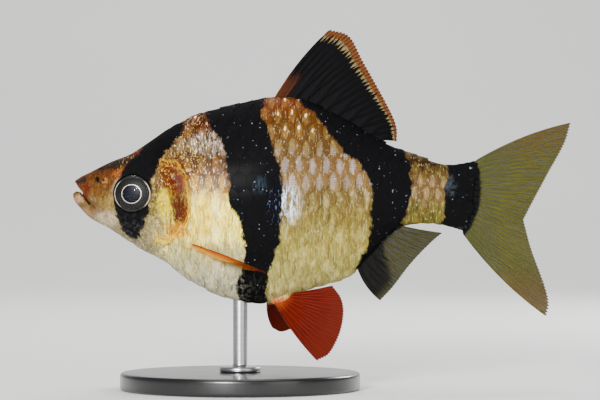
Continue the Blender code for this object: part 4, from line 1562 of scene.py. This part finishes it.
def caudal_marks(fin):
    """Browner outer rays, a grey-green root, and the last band ending on the root."""
    rim = fin.step(fin.h, 3.0, 9.0) * 0.4 + fin.fall(fin.h, -13.0, -8.0) * 0.5
    fin.lay(rim, tint(104, 70, 36))
    root = fin.fall(fin.along, 0.0, 0.3)
    fin.lay(root * 0.5, tint(104, 108, 76))
    edge = fin.curve(fin.h, BAND_4_REAR)
    band = fin.fall(fin.s + (fin.thread - 0.5) * 0.8 - edge, -0.1, 0.25)
    fin.blacken(band, 0.98)
    fin.alpha = fin.alpha + root * (1.0 - band) * 0.2


def pelvic_marks(fin):
    """Pale flesh at the root, and a darker rim."""
    flesh = fin.fall(fin.along + fin.thread * 0.2, 0.1, 0.34)
    fin.lay(flesh * (1.0 - fin.step(fin.across, 0.1, 0.8) * 0.5) * 0.8, tint(190, 104, 50))
    fin.lay(fin.step(fin.along + (fin.fine - 0.5) * 0.4, 0.55, 0.95) * 0.45, tint(112, 46, 22))


def pectoral_marks(fin):
    """An orange-brown leading edge, a yellow sheet that fades out to the rear, and a brown tip."""
    lead = fin.fall(fin.across - fin.along * 0.12, 0.06, 0.5)
    fin.lay(lead * 0.9, tint(190, 84, 8))
    fin.lay(fin.fall(fin.across, 0.03, 0.14) * 0.85, tint(88, 34, 8))
    fin.lay(fin.step(fin.along, 0.62, 0.8) * 0.7, tint(88, 42, 26))
    clear_tip = fin.step(fin.along, 0.8, 0.98) * 0.5
    clear_rear = fin.step(fin.across, 0.4, 0.95) * 0.55
    fin.alpha = (fin.alpha - clear_tip - clear_rear) * (0.75 + lead * 0.25)


def iris_paint():
    """Dark grey-brown, with a thin bright ring round the pupil and bright arcs at the rim."""
    paint = Paint("iris", Specular_IOR_Level=0.2)
    u, v = paint.uv("disc")
    a = (u - 0.5) * 2.0
    b = (v - 0.5) * 2.0
    out = away(a, b)
    big = paint.space()[0]
    fine = paint.noise(big, 4.0, 3.0, 0.7)
    spokes = paint.noise(paint.join(a / out * 6.0, b / out * 6.0), 1.5, 3.0)
    paint.colour = paint.mix(spokes, tint(12, 12, 14), tint(46, 44, 40))
    inner = PUPIL_RADIUS / EYE_RADII[0]
    ring = paint.step(out, inner - 0.01, inner + 0.01) * paint.fall(out, inner + 0.02, inner + 0.045)
    ring = ring * (0.7 + paint.step(fine, 0.3, 0.6) * 0.3)
    paint.lay(ring, tint(244, 232, 210, 1.0))
    sides = 0.04 + paint.step(abs(a), 0.5, 0.8) * 0.96
    arc = paint.step(out + (fine - 0.5) * 0.05, 0.85, 0.875) * paint.fall(out, 0.885, 0.91) * sides
    paint.lay(arc * 0.9, tint(226, 216, 192, 1.0))
    paint.lay(paint.step(out, 0.9, 0.94), BLACK)
    paint.wear(
        Base_Color=paint.colour,
        Metallic=ring * 0.3 + arc * 0.3,
        Roughness=0.5 - ring * 0.1,
        Normal=paint.bumped(spokes, 0.02, 0.3),
    )
    return paint.material


def cloudy(name, scale, detail, first, second, **fixed):
    """A plain material whose colour drifts softly between two shades."""
    paint = Paint(name, **fixed)
    paint.wear(Base_Color=paint.mix(paint.noise(paint.space()[0], scale, detail), first, second))
    return paint.material


def cornea_paint():
    """A clear mirror-thin dome: it only shows where it reflects."""
    paint = Paint("cornea", Metallic=1.0, Roughness=0.02, Base_Color=(1.0, 1.0, 1.0, 1.0))
    paint.wear(Alpha=paint.node("ShaderNodeFresnel", {}, {"IOR": 1.13}))
    return paint.material


def lacquer_paint():
    paint = Paint("black_lacquer", Coat_Weight=0.35, Coat_Roughness=0.08, IOR=1.5)
    big = paint.space()[0]
    fine = paint.noise(big, 1.6, 4.0, 0.65)
    streak = paint.noise(big, 0.5, 3.0, 0.6)
    paint.wear(
        Base_Color=paint.mix(fine, tint(24, 24, 26), tint(40, 39, 40)),
        Roughness=0.24 + streak * 0.14,
        Normal=paint.bumped(fine, 0.02, 0.25),
    )
    return paint.material


def steel_paint():
    paint = Paint("brushed_steel", Metallic=1.0)
    rings = paint.noise(paint.space()[0], 1.0, 3.0, 0.6, stretch=(0.6, 0.6, 14.0))
    paint.wear(
        Base_Color=paint.mix(rings, tint(150, 150, 152, 1.0), tint(205, 205, 206, 1.0)),
        Roughness=0.24 + rings * 0.16,
        Normal=paint.bumped(rings, 0.02, 0.35),
    )
    return paint.material


# The studio
def make_studio(paint):
    wide, front, rear, high = BACKDROP
    profile = [(front, 0), (rear - BACKDROP_BEND, 0)]
    for k in range(1, 17):
        angle = math.pi / 2 * k / 16
        away_from_bend = rear - BACKDROP_BEND + BACKDROP_BEND * math.sin(angle)
        profile.append((away_from_bend, BACKDROP_BEND - BACKDROP_BEND * math.cos(angle)))
    profile.append((rear, high))
    work = bmesh.new()
    line = [work.verts.new((-wide, y, z)) for y, z in profile]
    edges = [work.edges.new(pair) for pair in zip(line, line[1:])]
    far = outer(bmesh.ops.extrude_edge_only(work, edges=edges))
    bmesh.ops.translate(work, vec=(2 * wide, 0, 0), verts=list(far))
    bmesh.ops.scale(work, vec=(MM, MM, MM), verts=work.verts)
    bmesh.ops.recalc_face_normals(work, faces=work.faces)
    mesh = mesh_of("backdrop", work)
    mesh.shade_smooth()
    mesh.materials.append(paint)
    floor = put("backdrop", mesh)


def make_lights():
    """Soft round lamps, and a faint even light from all around."""
    for name, place, target, size, power in LAMPS:
        data = bpy.data.lights.new(name, "AREA")
        data.shape = "DISK"
        data.size = size * MM
        data.energy = power
        light = put(name, data)
        light.location = Vector(place) * MM
        light.rotation_euler = (Vector(target) - Vector(place)).to_track_quat("-Z", "Y").to_euler()
    world = bpy.data.worlds.new("studio")
    world.use_nodes = True
    sky = world.node_tree.nodes["Background"].inputs
    sky[0].default_value, sky[1].default_value = AMBIENT
    bpy.context.scene.world = world


def make_camera():
    data = bpy.data.cameras.new("camera")
    data.lens = LENS
    data.sensor_width = SENSOR
    data.clip_start = 0.01
    camera = put("camera", data)
    distance = VIEW_WIDTH * LENS / SENSOR
    camera.location = TO_FRAME @ Vector((VIEW_CENTRE[0], -distance, VIEW_CENTRE[1]))
    camera.rotation_euler = (math.radians(90), 0, 0)
    bpy.context.scene.camera = camera


def make_fins():
    smoke = fin_paint("dorsal", DORSAL_RAYS, (126, 80, 28), (98, 56, 18), 0.85, dorsal_marks, 0.0)
    edge_fin(
        "dorsal_fin", DORSAL_RAYS, back, 1, DORSAL_ROOT, DORSAL_MARGIN, smoke, "dorsal",
        rows=64, lean=(-0.55, 0, 0.75), fade=0.6, sway=0.35,
    )
    olive = fin_paint("anal", ANAL_RAYS, (56, 56, 18), (88, 84, 32), 0.76, anal_marks)
    edge_fin(
        "anal_fin", ANAL_RAYS, belly, -1, ANAL_ROOT, ANAL_MARGIN, olive, "clear_fin",
        rows=44, lean=(-0.7, 0, -0.4), fade=0.7, sway=-0.3,
    )
    caudal_fin(*[
        fin_paint(f"caudal_{word}", rays, (78, 80, 16), (114, 108, 40), 0.77, caudal_marks)
        for word, rays in zip(("upper", "lower"), CAUDAL_RAYS)
    ])
    red = fin_paint("pelvic", PELVIC_RAYS, (124, 38, 12), (100, 26, 8), 0.96, pelvic_marks, 0.0)
    pelvic_fin("left", -1, PELVIC_LEFT_ROOT, PELVIC_LEFT_MARGIN, red)
    pelvic_fin("right", 1, PELVIC_RIGHT_ROOT, PELVIC_RIGHT_MARGIN, red)
    orange = fin_paint("pectoral", PECTORAL_RAYS, (244, 196, 76), (228, 160, 56), 0.8, pectoral_marks, 0.05)
    pectoral_fin("left", -1, orange)
    pectoral_fin("right", 1, orange)


def build():
    make_camera()
    make_studio(
        cloudy("pale_floor", 0.01, 2.0, tint(226, 226, 223, 1.0), tint(234, 233, 230, 1.0), Roughness=0.75)
    )
    make_lights()
    skin = skin_paint()
    lining = cloudy("mouth_lining", 2.0, 2.0, tint(74, 26, 20), tint(120, 58, 46), Roughness=0.6)
    make_skin(skin, lining)
    make_scales(scale_paint())
    make_fins()
    iris = iris_paint()
    looks = {"Roughness": 0.4, "Specular_IOR_Level": 0.1}
    pupil = cloudy("pupil", 0.8, 1.0, tint(8, 8, 16), tint(24, 26, 56), **looks)
    make_eyes(iris, pupil, cornea_paint())
    make_stand(lacquer_paint(), steel_paint())


build()
